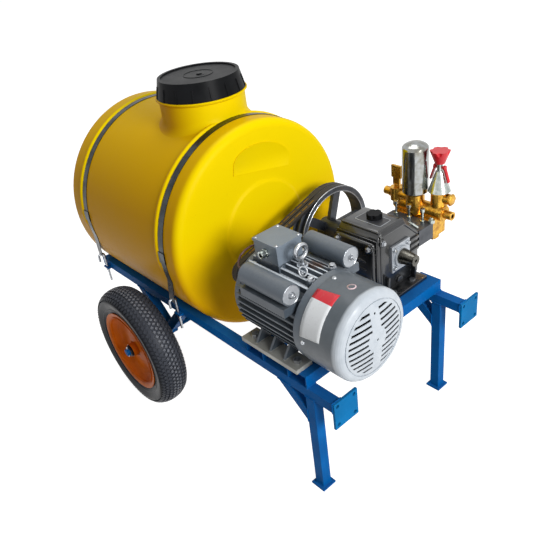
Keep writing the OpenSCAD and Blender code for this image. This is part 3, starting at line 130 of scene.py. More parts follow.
def sprayedEnamel(name, spec):
    # alkyd enamel sprayed on metal: orange peel of 2 to 3 mm softens the gloss, dust lies on upward faces
    spec = {"rough": 0.4, "spread": 0.2, "peel": 2.5, "edge": 1.2, "dust": 0.1, "lying": "#a9a9a4", "chips": 0.015,
            "relief": 0.12, "depth": 0.4, **spec}
    finish, tree, shader, place, (broad, fine, skin) = startFinish(name, (70, 4.0, 0.5), (5, 5.0, 0.7),
                                                                   (spec["peel"], 2.0, 0.5))
    drift = addNode(tree, "MapRange", {"From Min": 0.35, "From Max": 0.7}, {"Value": broad})
    base = addNode(tree, "Mix", {6: spec["tones"][0], 7: spec["tones"][1]}, {0: drift})
    facing = addNode(tree, "NewGeometry", output="Normal")
    upward = addNode(tree, "SeparateXYZ", None, {"Vector": facing}, "Z")
    lying = addNode(tree, "MapRange", {"From Min": 0.3, "To Max": spec["dust"]}, {"Value": upward})
    patchy = addNode(tree, "MapRange", {"From Min": 0.2, "From Max": 0.6}, {"Value": fine})
    amount = addNode(tree, "Math", {"operation": "MULTIPLY"}, {0: lying, 1: patchy})
    dusty = addNode(tree, "Mix", {7: spec["lying"]}, {0: amount, 6: base})
    chip = addNode(tree, "MapRange",
                   {"From Min": 0.76 - spec["chips"], "From Max": 0.78 - spec["chips"]}, {"Value": fine})
    worn = addNode(tree, "Mix", {7: "#2f2c2a"}, {0: chip, 6: dusty})
    if "foot" in spec:
        # the feet are bare casting under old paint, browned by oil and dust
        level = addNode(tree, "SeparateXYZ", None, {"Vector": place}, "Z")
        low = addNode(tree, "MapRange", {"From Min": spec["foot"], "From Max": spec["foot"] - 0.004},
                      {"Value": level})
        stain = addNode(tree, "Mix", {6: "#c6c5bc", 7: "#96938a"}, {0: drift})
        worn = addNode(tree, "Mix", None, {0: low, 6: worn, 7: stain})
        # pale bluish colour on the upward fins of the crown: partly old dust, partly a painted reflection of the
        # sky
        crown = addNode(tree, "MapRange", {"From Min": spec["crown"], "From Max": spec["crown"] + 0.012,
                                           "To Max": 2.0}, {"Value": level})
        pale = crown
        for factor in (patchy, lying):
            pale = addNode(tree, "Math", {"operation": "MULTIPLY"}, {0: pale, 1: factor})
        pale = addNode(tree, "Math", {"operation": "DIVIDE", 1: spec["dust"]}, {0: pale})
        worn = addNode(tree, "Mix", {7: "#d6dee6"}, {0: pale, 6: worn})
        # rust round the lifting eye, where the paint has lifted
        away = addNode(tree, "VectorMath", {"operation": "DISTANCE", 1: spec["rust"]}, {0: place}, "Value")
        ragged = addNode(tree, "Math", {"operation": "MULTIPLY_ADD", 1: 0.03}, {0: fine, 2: away})
        near = addNode(tree, "MapRange", {"From Min": 0.040, "From Max": 0.026, "To Max": 0.85},
                       {"Value": ragged})
        worn = addNode(tree, "Mix", {7: "#6b4a34"}, {0: near, 6: worn})
    endFinish(tree, shader, worn, fine, skin, spec)
    return finish


# Three ways of making a part, with what each leaves on its skin; sizes are in millimetres
kinds = {
    # sand casting: a grain of 1 to 2 mm breaks up the reflections of paint or bare metal
    "cast": {"rough": 0.4, "spread": 0.2, "cloud": 45.0, "grain": 1.6, "edge": 1.5, "relief": 0.3, "depth": 0.4},
    # plating and handling: clouds of 10 to 20 mm under fine wipe marks keep the metal from a plain mirror
    "plated": {"rough": 0.2, "spread": 0.18, "cloud": 12.0, "grain": 1.2, "edge": 0.5, "relief": 0.1, "depth": 0.2,
               "shader": {"Metallic": 1.0}},
    # injection moulding: a leather grain and a slow drift of tone over some 60 mm
    "moulded": {"rough": 0.4, "spread": 0.12, "cloud": 60.0, "grain": 1.5, "edge": 0.8, "relief": 0.3,
                "depth": 0.15, "shader": {"IOR": 1.49}},
}


def madeFinish(name, kind, spec):
    # clouds of two tones and of gloss over a fine relief; a streak stretches them along a turned bar
    spec = {"worn": (0.3, 0.75), **kinds[kind], **spec}
    finish, tree, shader, place, (cloud, grain) = startFinish(
        name, (spec["cloud"], 5.0, 0.55), (spec["grain"], 3.5, 0.6), streak=spec.get("streak"))
    drift = addNode(tree, "MapRange", {"From Min": 0.37, "From Max": 0.66}, {"Value": cloud})
    base = addNode(tree, "Mix", {6: spec["tones"][0], 7: spec["tones"][1]}, {0: drift})
    endFinish(tree, shader, base, cloud, grain, spec)
    return finish


def blownPolyethylene(name):
    # blow-moulded polyethylene: waxy, dented over 100 mm and scuffed; painted shade turns its yellow deep orange on
    # faces away from the key light and warmer orange towards the bottom
    finish, tree, shader, place, (dents, scuffs, pores) = startFinish(name, (140, 2.0, 0.5), (9, 6.0, 0.75),
                                                                      (2.2, 2.0, 0.5))
    # painted shade: faces turned from the key light (0.95, 0.1, 0.3) are mixed from yellow to a deep orange
    facing = addNode(tree, "NewGeometry", output="Normal")
    towards = addNode(tree, "VectorMath", {"operation": "DOT_PRODUCT", 1: (0.95, 0.1, 0.3)}, {0: facing}, "Value")
    lit = addNode(tree, "MapRange", {"From Min": 0.0, "From Max": 0.75}, {"Value": towards})
    base = addNode(tree, "Mix", {6: "#cf9800", 7: "#f5d600"}, {0: lit})
    # painted shade: towards the bottom, where the front lies in the motor's shade, the yellow is tinted a warmer
    # orange
    level = addNode(tree, "SeparateXYZ", None, {"Vector": place}, "Z")
    low = addNode(tree, "MapRange", {"From Min": 0.56, "From Max": 0.32, "To Max": 0.9}, {"Value": level})
    base = addNode(tree, "Mix", {7: "#eeaa00"}, {0: low, 6: base})
    marked = addNode(tree, "MapRange", {"From Min": 0.6, "From Max": 0.85, "To Max": 0.3}, {"Value": scuffs})
    stained = addNode(tree, "Mix", {7: "#b98a10"}, {0: marked, 6: base})
    slow = addNode(tree, "Bump", {"Strength": 0.5, "Distance": 0.0016}, {"Height": dents})
    endFinish(tree, shader, stained, scuffs, pores, {
        "rough": 0.34, "spread": 0.18, "relief": 0.2, "depth": 0.3, "shader": {"Specular IOR Level": 0.045}}, slow)
    return finish


def tyreRubber(name):
    # vulcanised rubber: blue-black and nearly dull, with a little dust in its pores
    finish, tree, shader, place, (bloom, grit) = startFinish(name, (30, 5.0, 0.5), (1.5, 4.0, 0.7))
    drift = addNode(tree, "MapRange", {"From Min": 0.4, "From Max": 0.7}, {"Value": bloom})
    base = addNode(tree, "Mix", {6: "#101216", 7: "#1a1d23"}, {0: drift})
    dust = addNode(tree, "MapRange", {"From Min": 0.6, "From Max": 0.8, "To Max": 0.1}, {"Value": grit})
    dusted = addNode(tree, "Mix", {7: "#5c5e63"}, {0: dust, 6: base})
    # painted sheen, partly dust: the tread is greyed from the shoulder outwards; painted glints make the crown pale
    # in patches
    flat = addNode(tree, "VectorMath", {"operation": "MULTIPLY", 1: (1, 0, 1)}, {0: place})
    reach = addNode(tree, "VectorMath", {"operation": "DISTANCE", 1: (axleAt.x / 1000, 0, axleAt.z / 1000)},
                    {0: flat}, "Value")
    treadDustAndSheen = addNode(tree, "MapRange", {"From Min": 0.154, "From Max": 0.169, "To Max": 0.75}, {"Value": reach})
    treadWithSheen = addNode(tree, "Mix", {7: "#4b4e56"}, {0: treadDustAndSheen, 6: dusted})
    # painted glints: pale patches of colour along the tread's crown
    crown = addNode(tree, "MapRange", {"From Min": 0.1735, "From Max": 0.1752}, {"Value": reach})
    glintPatches = addNode(tree, "MapRange", {"From Min": 0.42, "From Max": 0.6, "To Max": 0.5}, {"Value": grit})
    crownGlints = addNode(tree, "Math", {"operation": "MULTIPLY"}, {0: crown, 1: glintPatches})
    worn = addNode(tree, "Mix", {7: "#b4b7bf"}, {0: crownGlints, 6: treadWithSheen})
    endFinish(tree, shader, worn, bloom, grit, {
        "rough": 0.26, "spread": 0.16, "relief": 0.3, "depth": 0.4, "shader": {"Specular IOR Level": 0.07}})
    return finish


def coverEnamel(name):
    # pressed steel fan cover: grey enamel round the drum, a paler coat over the rounded end and the grille
    finish, tree, shader, place, (soft, peel) = startFinish(name, (25, 4.0, 0.5), (2.2, 2.0, 0.5))
    along = addNode(tree, "SeparateXYZ", None, {"Vector": place}, "X")
    wander = addNode(tree, "Math", {"operation": "MULTIPLY_ADD", 1: 0.006}, {0: soft, 2: along})
    paleness = addNode(tree, "MapRange", {"From Min": 0.4865, "From Max": 0.4925}, {"Value": wander})
    drift = addNode(tree, "MapRange", {"From Min": 0.35, "From Max": 0.7}, {"Value": soft})
    grey = addNode(tree, "Mix", {6: "#535b62", 7: "#4b5359"}, {0: drift})
    pale = addNode(tree, "Mix", {6: "#c3cad1", 7: "#b5bdc5"}, {0: drift})
    base = addNode(tree, "Mix", None, {0: paleness, 6: grey, 7: pale})
    endFinish(tree, shader, base, soft, peel, {"rough": 0.32, "spread": 0.16, "edge": 0.6, "relief": 0.12,
                                               "depth": 0.4})
    return finish


def printedPaper(name, colour, band=None, level=0.0):
    # coated paper: satin, slightly wrinkled and scuffed, with an optional plain band of ink above a level
    finish, tree, shader, place, (wear,) = startFinish(name, (6, 5.0, 0.5))
    faded = addNode(tree, "MapRange", {"From Min": 0.55, "From Max": 0.85, "To Max": 0.2}, {"Value": wear})
    height = addNode(tree, "SeparateXYZ", None, {"Vector": place}, "Z")
    inked = addNode(tree, "MapRange", {"From Min": level - 0.0002, "From Max": level + 0.0002}, {"Value": height})
    base = addNode(tree, "Mix", {6: colour, 7: band or colour}, {0: inked})
    worn = addNode(tree, "Mix", {7: "#8f8f8b"}, {0: faded, 6: base})
    endFinish(tree, shader, worn, wear, wear, {"worn": (0.0, 1.0), "rough": 0.3, "spread": 0.2, "edge": 0.2,
                                               "relief": 0.2, "depth": 0.3})
    return finish


matt = {"Specular IOR Level": 0.04}
finishes = {
    "blue_enamel": sprayedEnamel("blue enamel sprayed on steel tube", {  # an even coat, dulled outdoors
        "tones": ("#0464ae", "#03579b"), "dust": 0.03, "rough": 0.42, "shader": matt}),
    "plate_enamel": sprayedEnamel("light blue enamel sprayed on plate", {  # the same paint, lighter on flat plate
        "tones": ("#0674b2", "#0569a2"), "dust": 0.03, "rough": 0.4, "shader": matt}),
    "orange_enamel": sprayedEnamel("orange enamel sprayed on pressed rim", {  # glossier, and chipped by stones
        "tones": ("#d86c0c", "#b85606"), "chips": 0.03, "rough": 0.3, "dust": 0.03,
        "shader": {"Specular IOR Level": 0.07}}),
    "tyre_rubber": tyreRubber("vulcanised tyre rubber"),
    "black_plastic": madeFinish("black moulded polypropylene", "moulded", {  # deep black with a soft gloss
        "tones": ("#121315", "#1b1c1e"), "rough": 0.3, "shader": {"Specular IOR Level": 0.05}}),
    "black_steel": madeFinish("black oxide turned steel", "cast", {  # dull black with a glint of metal
        "tones": ("#26272a", "#34353a"), "shader": {"Metallic": 0.6}}),
    "zinc_steel": madeFinish("zinc plated steel", "plated", {  # bright, in small dull patches
        "tones": ("#c3c6ca", "#94989d"), "rough": 0.26, "cloud": 7.0}),
    "tank_plastic": blownPolyethylene("yellow blow moulded polyethylene"),
    "seal_rubber": madeFinish("moulded seal rubber", "moulded", {  # almost no gloss
        "tones": ("#232323", "#2e2d2b"), "rough": 0.7}),
    "white_plastic": madeFinish("white moulded polyethylene", "moulded", {  # waxy off-white
        "tones": ("#e6e4dc", "#dbd8cc"), "rough": 0.5}),
    "motor_enamel": sprayedEnamel("grey enamel sprayed on cast iron", {  # grey, dusty on its upper faces
        "tones": ("#5a646f", "#4f5963"), "peel": 3.0, "edge": 1.5, "dust": 0.15, "rough": 0.34}),
    "cover_enamel": coverEnamel("grey and pale enamel on pressed cover"),
    "winding_copper": madeFinish("enamelled copper winding", "plated", {  # warm and half bright under varnish
        "tones": ("#b06a35", "#8e5226"), "rough": 0.35, "cloud": 3.0}),
    "shaft_steel": madeFinish("turned bright steel with oil", "plated", {  # rings of the lathe under brown oil
        "tones": ("#6c6a64", "#3f3d38"), "cloud": 9.0, "streak": (1.0, 4.0, 4.0)}),
    "nickel": madeFinish("nickel plated brass", "plated", {  # a soft, warm mirror
        "tones": ("#c6cbc6", "#9fa8a4"), "rough": 0.15, "cloud": 10.0}),
    "disc_aluminium": madeFinish("spun aluminium end disc", "cast", {  # pale and nearly matt
        "tones": ("#b7bbc0", "#9da2a7"), "edge": 0.8, "rough": 0.42, "shader": {"Metallic": 0.3}}),
    "lead_pvc": madeFinish("red brown PVC lead", "moulded", {  # a smooth dull sheath
        "tones": ("#54221a", "#3d1a15")}),
    "pulley_iron": madeFinish("grey painted cast iron pulley", "cast", {  # thin paint with iron showing
        "tones": ("#50555d", "#393c42"), "rough": 0.34, "shader": {"Metallic": 0.35}}),
    "belt_rubber": madeFinish("cloth wrapped belt rubber", "moulded", {  # a weave that swallows light
        "tones": ("#151110", "#1f1a17"), "rough": 0.6, "grain": 1.0, "depth": 0.3}),
    "black_enamel": madeFinish("black gloss enamel on sand cast iron", "cast", {  # wet gloss over a rough skin
        "tones": ("#0f1113", "#191b1e"), "rough": 0.24, "grain": 2.4, "edge": 2.5, "relief": 0.2,
        "depth": 0.35, "shader": {"Coat Weight": 0.6, "Coat Roughness": 0.06}}),
    "flange_aluminium": madeFinish("die cast aluminium flange", "cast", {  # light metal with a fine grain
        "tones": ("#c0c4c9", "#a2a7ad"), "grain": 1.2, "shader": {"Metallic": 0.8}}),
    "block_iron": madeFinish("bare ground cast iron block", "cast", {  # grey and half bright
        "tones": ("#54575c", "#3f4247"), "grain": 1.4, "shader": {"Metallic": 0.5}}),
    "brass": madeFinish("sand cast brass", "cast", {  # golden, mottled by the mould
        "tones": ("#dcac46", "#a87730"), "rough": 0.2, "grain": 2.0, "cloud": 11.0,
        "shader": {"Metallic": 1.0}}),
    "chrome_plate": madeFinish("chromium plated brass shell", "plated", {  # a mirror with faint smears
        "tones": ("#a2a5a5", "#85837a"), "rough": 0.08, "cloud": 18.0, "edge": 1.0}),
    "red_plastic": madeFinish("red moulded nylon", "moulded", {  # clean red with a moulded gloss
        "tones": ("#e01c28", "#bd1220"), "rough": 0.26}),
}
agedCasting = sprayedEnamel("grey enamel on weathered cast iron", {  # bare feet, a crown of dust and painted sky reflection, and some rust
    "tones": ("#545d67", "#454e57"), "peel": 3.0, "edge": 1.5, "dust": 0.12, "rough": 0.3, "foot": 0.3495,
    "crown": 0.508, "rust": (0.330, -0.112, 0.530)})
galvanised = madeFinish("galvanised steel strip", "plated", {  # dark, with broad dull spangles
    "tones": ("#43474a", "#272b2c"), "rough": 0.22, "cloud": 30.0})
boxEnamelPaintedLight = sprayedEnamel("grey enamel on sheet with painted light", {  # painted light: a lighter copy of the grey motor enamel stands in for the stronger light on the terminal box; less dust
    "tones": ("#7f8a96", "#737e89"), "dust": 0.03, "rough": 0.36})
# nodes that are finished otherwise than their slot says
special = {"motor_frame": agedCasting, "terminal_box": boxEnamelPaintedLight, "terminal_lid": boxEnamelPaintedLight,
           "strap_front": galvanised, "strap_rear": galvanised, "strap_clips": galvanised}
for part in frame["record"]["subparts"]:
    shown = nodes[part["node"]]
    chosen = special.get(part["node"], finishes[part["material_slot"]])
    for holder in shown.material_slots:
        holder.material = chosen
    if not shown.material_slots:
        shown.data.materials.append(chosen)
print("finishes made:", len(finishes))


# Making pieces: shapes are drawn in millimetres and scaled at the end

def turned(axis, sense=1):
    # turns a shape drawn about Z so that it points along X, Y or Z
    turn = {"x": Matrix.Rotation(math.pi / 2, 4, "Y"), "y": Matrix.Rotation(-math.pi / 2, 4, "X"),
            "z": Matrix.Identity(4)}[axis]
    return turn if sense > 0 else turn @ Matrix.Rotation(math.pi, 4, "X")


def addCone(mesh, sides, foot, top, depth, place):
    return bmesh.ops.create_cone(mesh, cap_ends=True, segments=sides, radius1=foot, radius2=top, depth=depth,
                                 matrix=place)["verts"]


def roundEdges(mesh, edges, offset, steps):
    bmesh.ops.bevel(mesh, geom=edges, offset=offset, segments=steps, affect="EDGES", profile=0.5, material=-1)


def addRod(mesh, start, axis, length, radius, sides=24, tip=None, bevel=0.0):
    # a round or six-sided bar from start along an axis, with rounded end edges
    place = shift(Vector(start)) @ turned(axis) @ shift((0, 0, length / 2))
    made = addCone(mesh, sides, radius, radius if tip is None else tip, length, place)
    if bevel:
        rims = [e for e in {e for v in made for e in v.link_edges}
                if any(len(f.verts) == sides for f in e.link_faces)]
        roundEdges(mesh, rims, bevel, 2)


def addBar(mesh, start, end, radius, sides=14):
    # a straight round bar between two points, with a ball at each end
    start, end = Vector(start), Vector(end)
    way = end - start
    place = shift((start + end) / 2) @ way.to_track_quat("Z", "Y").to_matrix().to_4x4()
    addCone(mesh, sides, radius, radius, way.length, place)
    for point in (start, end):
        bmesh.ops.create_uvsphere(mesh, u_segments=sides, v_segments=8, radius=radius,
                                  matrix=shift(point))


def addBlock(mesh, low, high, bevel=0.0, steps=2, place=None):
    low, high = Vector(low), Vector(high)
    fit = shift((low + high) / 2) @ Matrix.Diagonal((*(high - low), 1))
    made = bmesh.ops.create_cube(mesh, size=1, matrix=(place @ fit) if place else fit)
    if bevel:
        roundEdges(mesh, list({e for v in made["verts"] for e in v.link_edges}), bevel, steps)


def addSpin(mesh, profile, centre, axis, steps):
    # spins a section given as (radius, along) pairs about an axis through centre
    across = {"x": Vector((0, 0, 1)), "y": Vector((0, 0, 1)), "z": Vector((1, 0, 0))}[axis]
    along = {"x": Vector((1, 0, 0)), "y": Vector((0, 1, 0)), "z": Vector((0, 0, 1))}[axis]
    before = set(mesh.verts)
    chain = [mesh.verts.new(Vector(centre) + across * r + along * t) for r, t in profile]
    edges = [mesh.edges.new(pair) for pair in zip(chain, chain[1:])]
    bmesh.ops.spin(mesh, geom=chain + edges, cent=Vector(centre), axis=along, angle=math.tau, steps=steps,
                   use_merge=True)
    bmesh.ops.remove_doubles(mesh, verts=[v for v in mesh.verts if v not in before], dist=0.001)


def addPrism(mesh, outline, low, high):
    # a slab with its outline in y and z, drawn out along X
    face = mesh.faces.new([mesh.verts.new((low, y, z)) for y, z in outline])
    made = bmesh.ops.extrude_face_region(mesh, geom=[face])
    bmesh.ops.translate(mesh, vec=(high - low, 0, 0),
                        verts=[g for g in made["geom"] if isinstance(g, bmesh.types.BMVert)])


def addHoop(mesh, place, radius, wire, sides=40):
    # a closed ring of round wire
    section = [(radius + wire * math.cos(math.tau * k / 10), wire * math.sin(math.tau * k / 10)) for k in range(11)]
    before = set(mesh.verts)
    addSpin(mesh, section, (0, 0, 0), "z", sides)
    bmesh.ops.transform(mesh, matrix=place, verts=[v for v in mesh.verts if v not in before])


def addBolt(mesh, at, axis, width=13.0, height=5.5, washer=9.0, sense=1):
    # a hexagon head with a chamfered top on a washer
    place = shift(Vector(at)) @ turned(axis, sense)
    if washer:
        addCone(mesh, 24, washer, washer, 1.4, place @ shift((0, 0, 0.7)))
    corner = width / 1.732
    addCone(mesh, 6, corner, corner, height, place @ shift((0, 0, 1.2 + height / 2)))
    addCone(mesh, 20, width * 0.5, width * 0.42, 1.0, place @ shift((0, 0, 1.4 + height)))


def addScrew(metal, dark, place, radius):
    # a domed screw head with a slot
    addCone(metal, 20, radius, radius * 0.72, radius * 0.5, place @ shift((0, 0, radius * 0.25)))
    addBlock(dark, (-radius * 0.7, -0.4, radius * 0.45), (radius * 0.7, 0.4, radius * 0.54), 0, 1, place)


def finishPiece(mesh, name, body, slot, stands=(), crease=35.0, finish=None, at=None):
    # makes the object, moved by at, with the finish of its slot unless another is given
    if at:
        bmesh.ops.translate(mesh, vec=at, verts=mesh.verts)
    bmesh.ops.scale(mesh, vec=(0.001, 0.001, 0.001), verts=mesh.verts)
    bmesh.ops.recalc_face_normals(mesh, faces=mesh.faces)
    data = bpy.data.meshes.new(name)
    mesh.to_mesh(data)
    mesh.free()
    data.polygons.foreach_set("use_smooth", [True] * len(data.polygons))
    data.set_sharp_from_angle(angle=math.radians(crease))
    piece = linkObject(name, data)
    data.materials.append(finish or finishes[slot])
    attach(piece, body)
    if stands:
        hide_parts(*stands)
    return piece


def roundedCorner(centre, radius, start, end, steps):
    return [(centre[0] + radius * math.cos(math.radians(start + (end - start) * i / steps)),
             centre[1] + radius * math.sin(math.radians(start + (end - start) * i / steps)))
            for i in range(steps + 1)]


tank = {"radius": 273.0, "length": 545.0, "edge": 22.0, "wall": 6.0, "straps": (65.0, 455.0), "strapWidth": 20.0,
        "bead": 16.0, "beadRise": 5.0, "discRadius": 125.0, "discRise": 5.0, "ringPitch": 6, "steps": 160,
        "mouth": 97.0, "flatFrom": 209.5}


def makeDrum():
    r, edge = tank["radius"], tank["edge"]
    front, back = tankFront, tankFront - tank["length"]
    profile = [(0, front + tank["discRise"]), (tank["discRadius"] - 14, front + tank["discRise"])]
    profile += [(tank["discRadius"] - 8 + 2 * i, front + tank["discRise"] * (0.5 + 0.5 * math.cos(math.pi * i / 6)))
                for i in range(7)]
    profile += [(tank["discRadius"] + 20, front), (r - edge - 30, front)]
    profile += roundedCorner((r - edge, front - edge), edge, 90, 0, 10)
    for setback in tank["straps"]:
        first = front - setback - tank["strapWidth"] / 2 - 3
        beadFoot = first + tank["strapWidth"] + 6
        profile += [(r, x) for x in range(int(profile[-1][1]) - 6, int(beadFoot + 1), -tank["ringPitch"])]
        profile.append((r, beadFoot))
        profile += [(r + tank["beadRise"] * math.sin(math.pi * i / 10) ** 0.8, first - tank["bead"] * i / 10)
                    for i in range(11)]
    profile += roundedCorner((r - edge, back + edge), edge, 0, -90, 10)
    profile += [(tank["discRadius"], back), (0, back)]
    mesh = bmesh.new()
    addSpin(mesh, profile, (0, 0, tankLevel), "x", tank["steps"])
    # the beads die out below the straps' sides, and the flanks sit flat on the rails
    for v in mesh.verts:
        away = Vector((0, v.co.y, v.co.z - tankLevel))
        if away.length > r:
            fade = min(1.0, max(0.0, (away.z / away.length + 0.12) / 0.1))
            away.length = r + (away.length - r) * fade
            v.co.y, v.co.z = away.y, away.z + tankLevel
        if railTop - 6 < v.co.z < railTop + 0.4 and abs(v.co.y) > tank["flatFrom"]:
            v.co.z = railTop + 0.4
    hole = [f for f in mesh.faces for middle in (f.calc_center_median(),)
            if middle.z > tankLevel and math.hypot(middle.x - neckX, middle.y) < tank["mouth"]]
    bmesh.ops.delete(mesh, geom=hole, context="FACES")
    piece = finishPiece(mesh, "tankDrum", "root", "tank_plastic", ("tank_shell",), 50)
    wall = piece.modifiers.new("wall", "SOLIDIFY")
    wall.thickness, wall.offset = tank["wall"] * 0.001, -1


neck = {"wallRadius": 108.0, "collarRadius": 115.0, "collarHeight": 8.0, "spigotRadius": 98.0, "bore": 92.0,
        "spigotHeight": 37.0, "flare": 18.0, "threads": 3, "threadStart": 8.0, "threadPitch": 9.0,
        "threadRise": 0.35, "steps": 120}


def makeNeck():
    top = tankLevel + tank["radius"]
    wall, flare, spigot = neck["wallRadius"], neck["flare"], neck["spigotRadius"]
    profile = [(wall + flare, top - 2)]
    profile += [(wall + flare * (1 - math.sin(math.radians(a))), top - 1 + flare * (1 - math.cos(math.radians(a))))
                for a in range(0, 91, 10)]
    collarLow = neckTop - neck["collarHeight"]
    profile += [(wall, collarLow - 12), (wall, collarLow - 1), (wall + 2, collarLow), (wall + 3.5, collarLow + 1.5),
                (wall + 3.5, collarLow + 3), (wall + 5, collarLow + 3.4),
                (neck["collarRadius"], collarLow + 4.5), (neck["collarRadius"], neckTop - 1),
                (neck["collarRadius"] - 1, neckTop), (spigot + 1, neckTop), (spigot, neckTop + 1)]
    for turn in range(neck["threads"]):
        level, crest = neckTop + neck["threadStart"] + turn * neck["threadPitch"], spigot + neck["threadRise"]
        profile += [(spigot, level), (crest, level + 1.5), (crest, level + 3), (spigot, level + 4.5)]
    mouth = neckTop + neck["spigotHeight"]
    profile += [(spigot, mouth - 1), (spigot - 1, mouth), (neck["bore"] + 1, mouth),
                (neck["bore"], mouth - 1), (neck["bore"], top - 10), (wall + flare - 2, top - 10),
                (wall + flare, top - 8), (wall + flare, top - 2)]
    mesh = bmesh.new()
    addSpin(mesh, profile, (neckX, 0, 0), "z", neck["steps"])
    # the flare narrows beside the front strap and follows the drum's round
    strapEdge = tankFront - tank["straps"][0] - tank["strapWidth"] / 2 - 1.5
    for v in mesh.verts:
        flat = Vector((v.co.x - neckX, v.co.y, 0))
        reach = flat.length
        if v.co.z < top + flare + 1 and reach > wall + 0.01:
            towards = flat.x / reach
            room = (strapEdge - neckX) / towards - wall if towards > 0.1 else flare
            flat.length = wall + (reach - wall) * max(0.0, min(1.0, room / flare))
            v.co.x, v.co.y = neckX + flat.x, flat.y
        surface = tankLevel + math.sqrt(tank["radius"] ** 2 - min(flat.y ** 2, tank["radius"] ** 2))
        share = 1 - min(1.0, max(0.0, (v.co.z - top - flare) / (neckTop - 14 - top - flare)))
        v.co.z += (surface - top) * share
    finishPiece(mesh, "tankNeck", "root", "tank_plastic", (), 40)


panel = {"centre": (18.0, 656.0), "width": 178.0, "foot": -32.0, "spring": -10.0, "crown": 38.0, "tilt": -11.0,
         "rise": 1.6, "border": 3.0}


def makeBlankPanel():
    # a bare arched panel on the tank's end with a raised border
    mesh = bmesh.new()
    half, spring, rise = panel["width"] / 2, panel["spring"], panel["crown"] - panel["spring"]
    outline = [(-half, panel["foot"]), (half, panel["foot"])]
    outline += [(half * math.cos(math.radians(a)), spring + rise * math.sin(math.radians(a)))
                for a in range(0, 181, 9)]
    addPrism(mesh, outline, -1, panel["rise"])
    face = [f for f in mesh.faces if len(f.verts) > 4 and f.calc_center_median().x > 0]
    bmesh.ops.inset_region(mesh, faces=face, thickness=panel["border"] * 0.4)
    bmesh.ops.inset_region(mesh, faces=face, thickness=panel["border"] * 0.6, depth=-panel["rise"] * 0.8)
    place = shift((tankFront, *panel["centre"])) @ Matrix.Rotation(math.radians(panel["tilt"]), 4, "X")
    bmesh.ops.transform(mesh, matrix=place, verts=mesh.verts)
    finishPiece(mesh, "tankPanel", "root", "tank_plastic", (), 60)


cap = {"dish": 3.0, "ring": 37.0, "ringWire": 1.1, "vent": (22.0, 0.0), "ventRadius": 7.0}


def makeCapDetail():
    # the moulded ring and the vent button in the cap's dished top
    mesh = bmesh.new()
    floorLevel = capLevel - cap["dish"]
    addHoop(mesh, shift((neckX, 0, floorLevel)), cap["ring"], cap["ringWire"], 72)
    x, y = cap["vent"]
    addRod(mesh, (neckX + x * 0.2, y, floorLevel - 0.4), "z", 2.6, cap["ventRadius"], 28, None, 0.8)
    finishPiece(mesh, "capDetail", "cap", "black_plastic")


makeDrum()
makeNeck()
makeBlankPanel()
makeCapDetail()
print("tank made")


tyre = {
    "radius": 175.5, "halfWidth": 42.5, "crownDrop": 26.35, "groove": 4.5, "pitches": 84, "steps": 120,
    # blocks of the tread: angle of each row, length and width in the middle and at the edge, depth, skew and lean
    "rows": (28, 46, 62, 77, 90, 103, 118, 134, 152), "block": (6.6, 6.4), "edgeBlock": (7.4, 9.5), "depth": 6.0,
    "skew": 26.0, "lean": 0.82,
    # the sidewall from bead to rib line, and the lining round the inside, as radius and distance from the middle
    "sidewall": ((103.4, 26.0), (104.4, 31.5), (114.0, 33.6), (118.5, 34.2), (121.0, 34.2), (122.0, 35.6),
                 (126.0, 37.2), (127.2, 38.4), (129.6, 38.9), (131.0, 38.2), (133.0, 39.0)),
    "lining": ((103.4, -20.0), (120.0, -24.0), (144.0, -31.0), (158.0, -30.0), (166.0, -12.0), (166.0, 12.0),
               (158.0, 30.0), (144.0, 31.0), (120.0, 24.0), (103.4, 20.0)),
}


def makeTyre(name, body, stands, side):
    mesh = bmesh.new()
    half, drop, groove = tyre["halfWidth"], tyre["crownDrop"], tyre["groove"]
    shoulder = tyre["radius"] - drop

    def casing(angle, inset):
        return (shoulder + (drop - inset) * math.sin(math.radians(angle)),
                (half - inset * 0.4) * math.cos(math.radians(angle)))

    outside = [casing(a, 0) for a in (-12, -6, 0, 8)]
    outside = [(r, min(y, half)) for r, y in outside]
    under = [casing(a, groove) for a in range(20, 161, 7)]
    inside = [(r, -y) for r, y in reversed(outside)]
    left, lining = list(tyre["sidewall"]), list(tyre["lining"])
    profile = lining[-1:] + left + outside + under + inside + [(r, -y) for r, y in reversed(left)] + lining
    addSpin(mesh, profile, (0, 0, 0), "y", tyre["steps"])
    for row, angle in enumerate(tyre["rows"]):
        radius, across = casing(angle, 0)
        edgeRow = row in (0, len(tyre["rows"]) - 1)
        size = Vector((*tyre["edgeBlock" if edgeRow else "block"], tyre["depth"]))
        lean = math.radians(90 - angle) * tyre["lean"]
        skew = math.radians(tyre["skew"] if row % 2 else -tyre["skew"])
        for k in range(tyre["pitches"]):
            turn = math.tau * (k + 0.5 * (row % 2)) / tyre["pitches"]
            place = (Matrix.Rotation(turn, 4, "Y") @ shift((0, across, radius)) @
                     Matrix.Rotation(-lean, 4, "X") @ Matrix.Rotation(skew, 4, "Z") @
                     shift((0, 0, -size.z / 2 + 0.1)))
            bmesh.ops.create_cube(mesh, size=1, matrix=place @ Matrix.Diagonal((*size, 1)))
    for v in mesh.verts:
        reach = math.hypot(v.co.x, v.co.z)
        if reach > tyre["radius"]:
            v.co.x *= tyre["radius"] / reach
            v.co.z *= tyre["radius"] / reach
    finishPiece(mesh, name, body, "tyre_rubber", (stands,), 32, at=(axleAt.x, side * wheelOut, axleAt.z))


rim = {"sweep": ((102.6, 37.0), (101.0, 30.0), (98.0, 23.0), (93.5, 17.0), (87.0, 12.6), (78.0, 10.6), (65.0, 11.2),
                 (50.0, 13.2), (35.0, 15.9), (22.0, 18.3)), "thick": 1.2, "steps": 96}


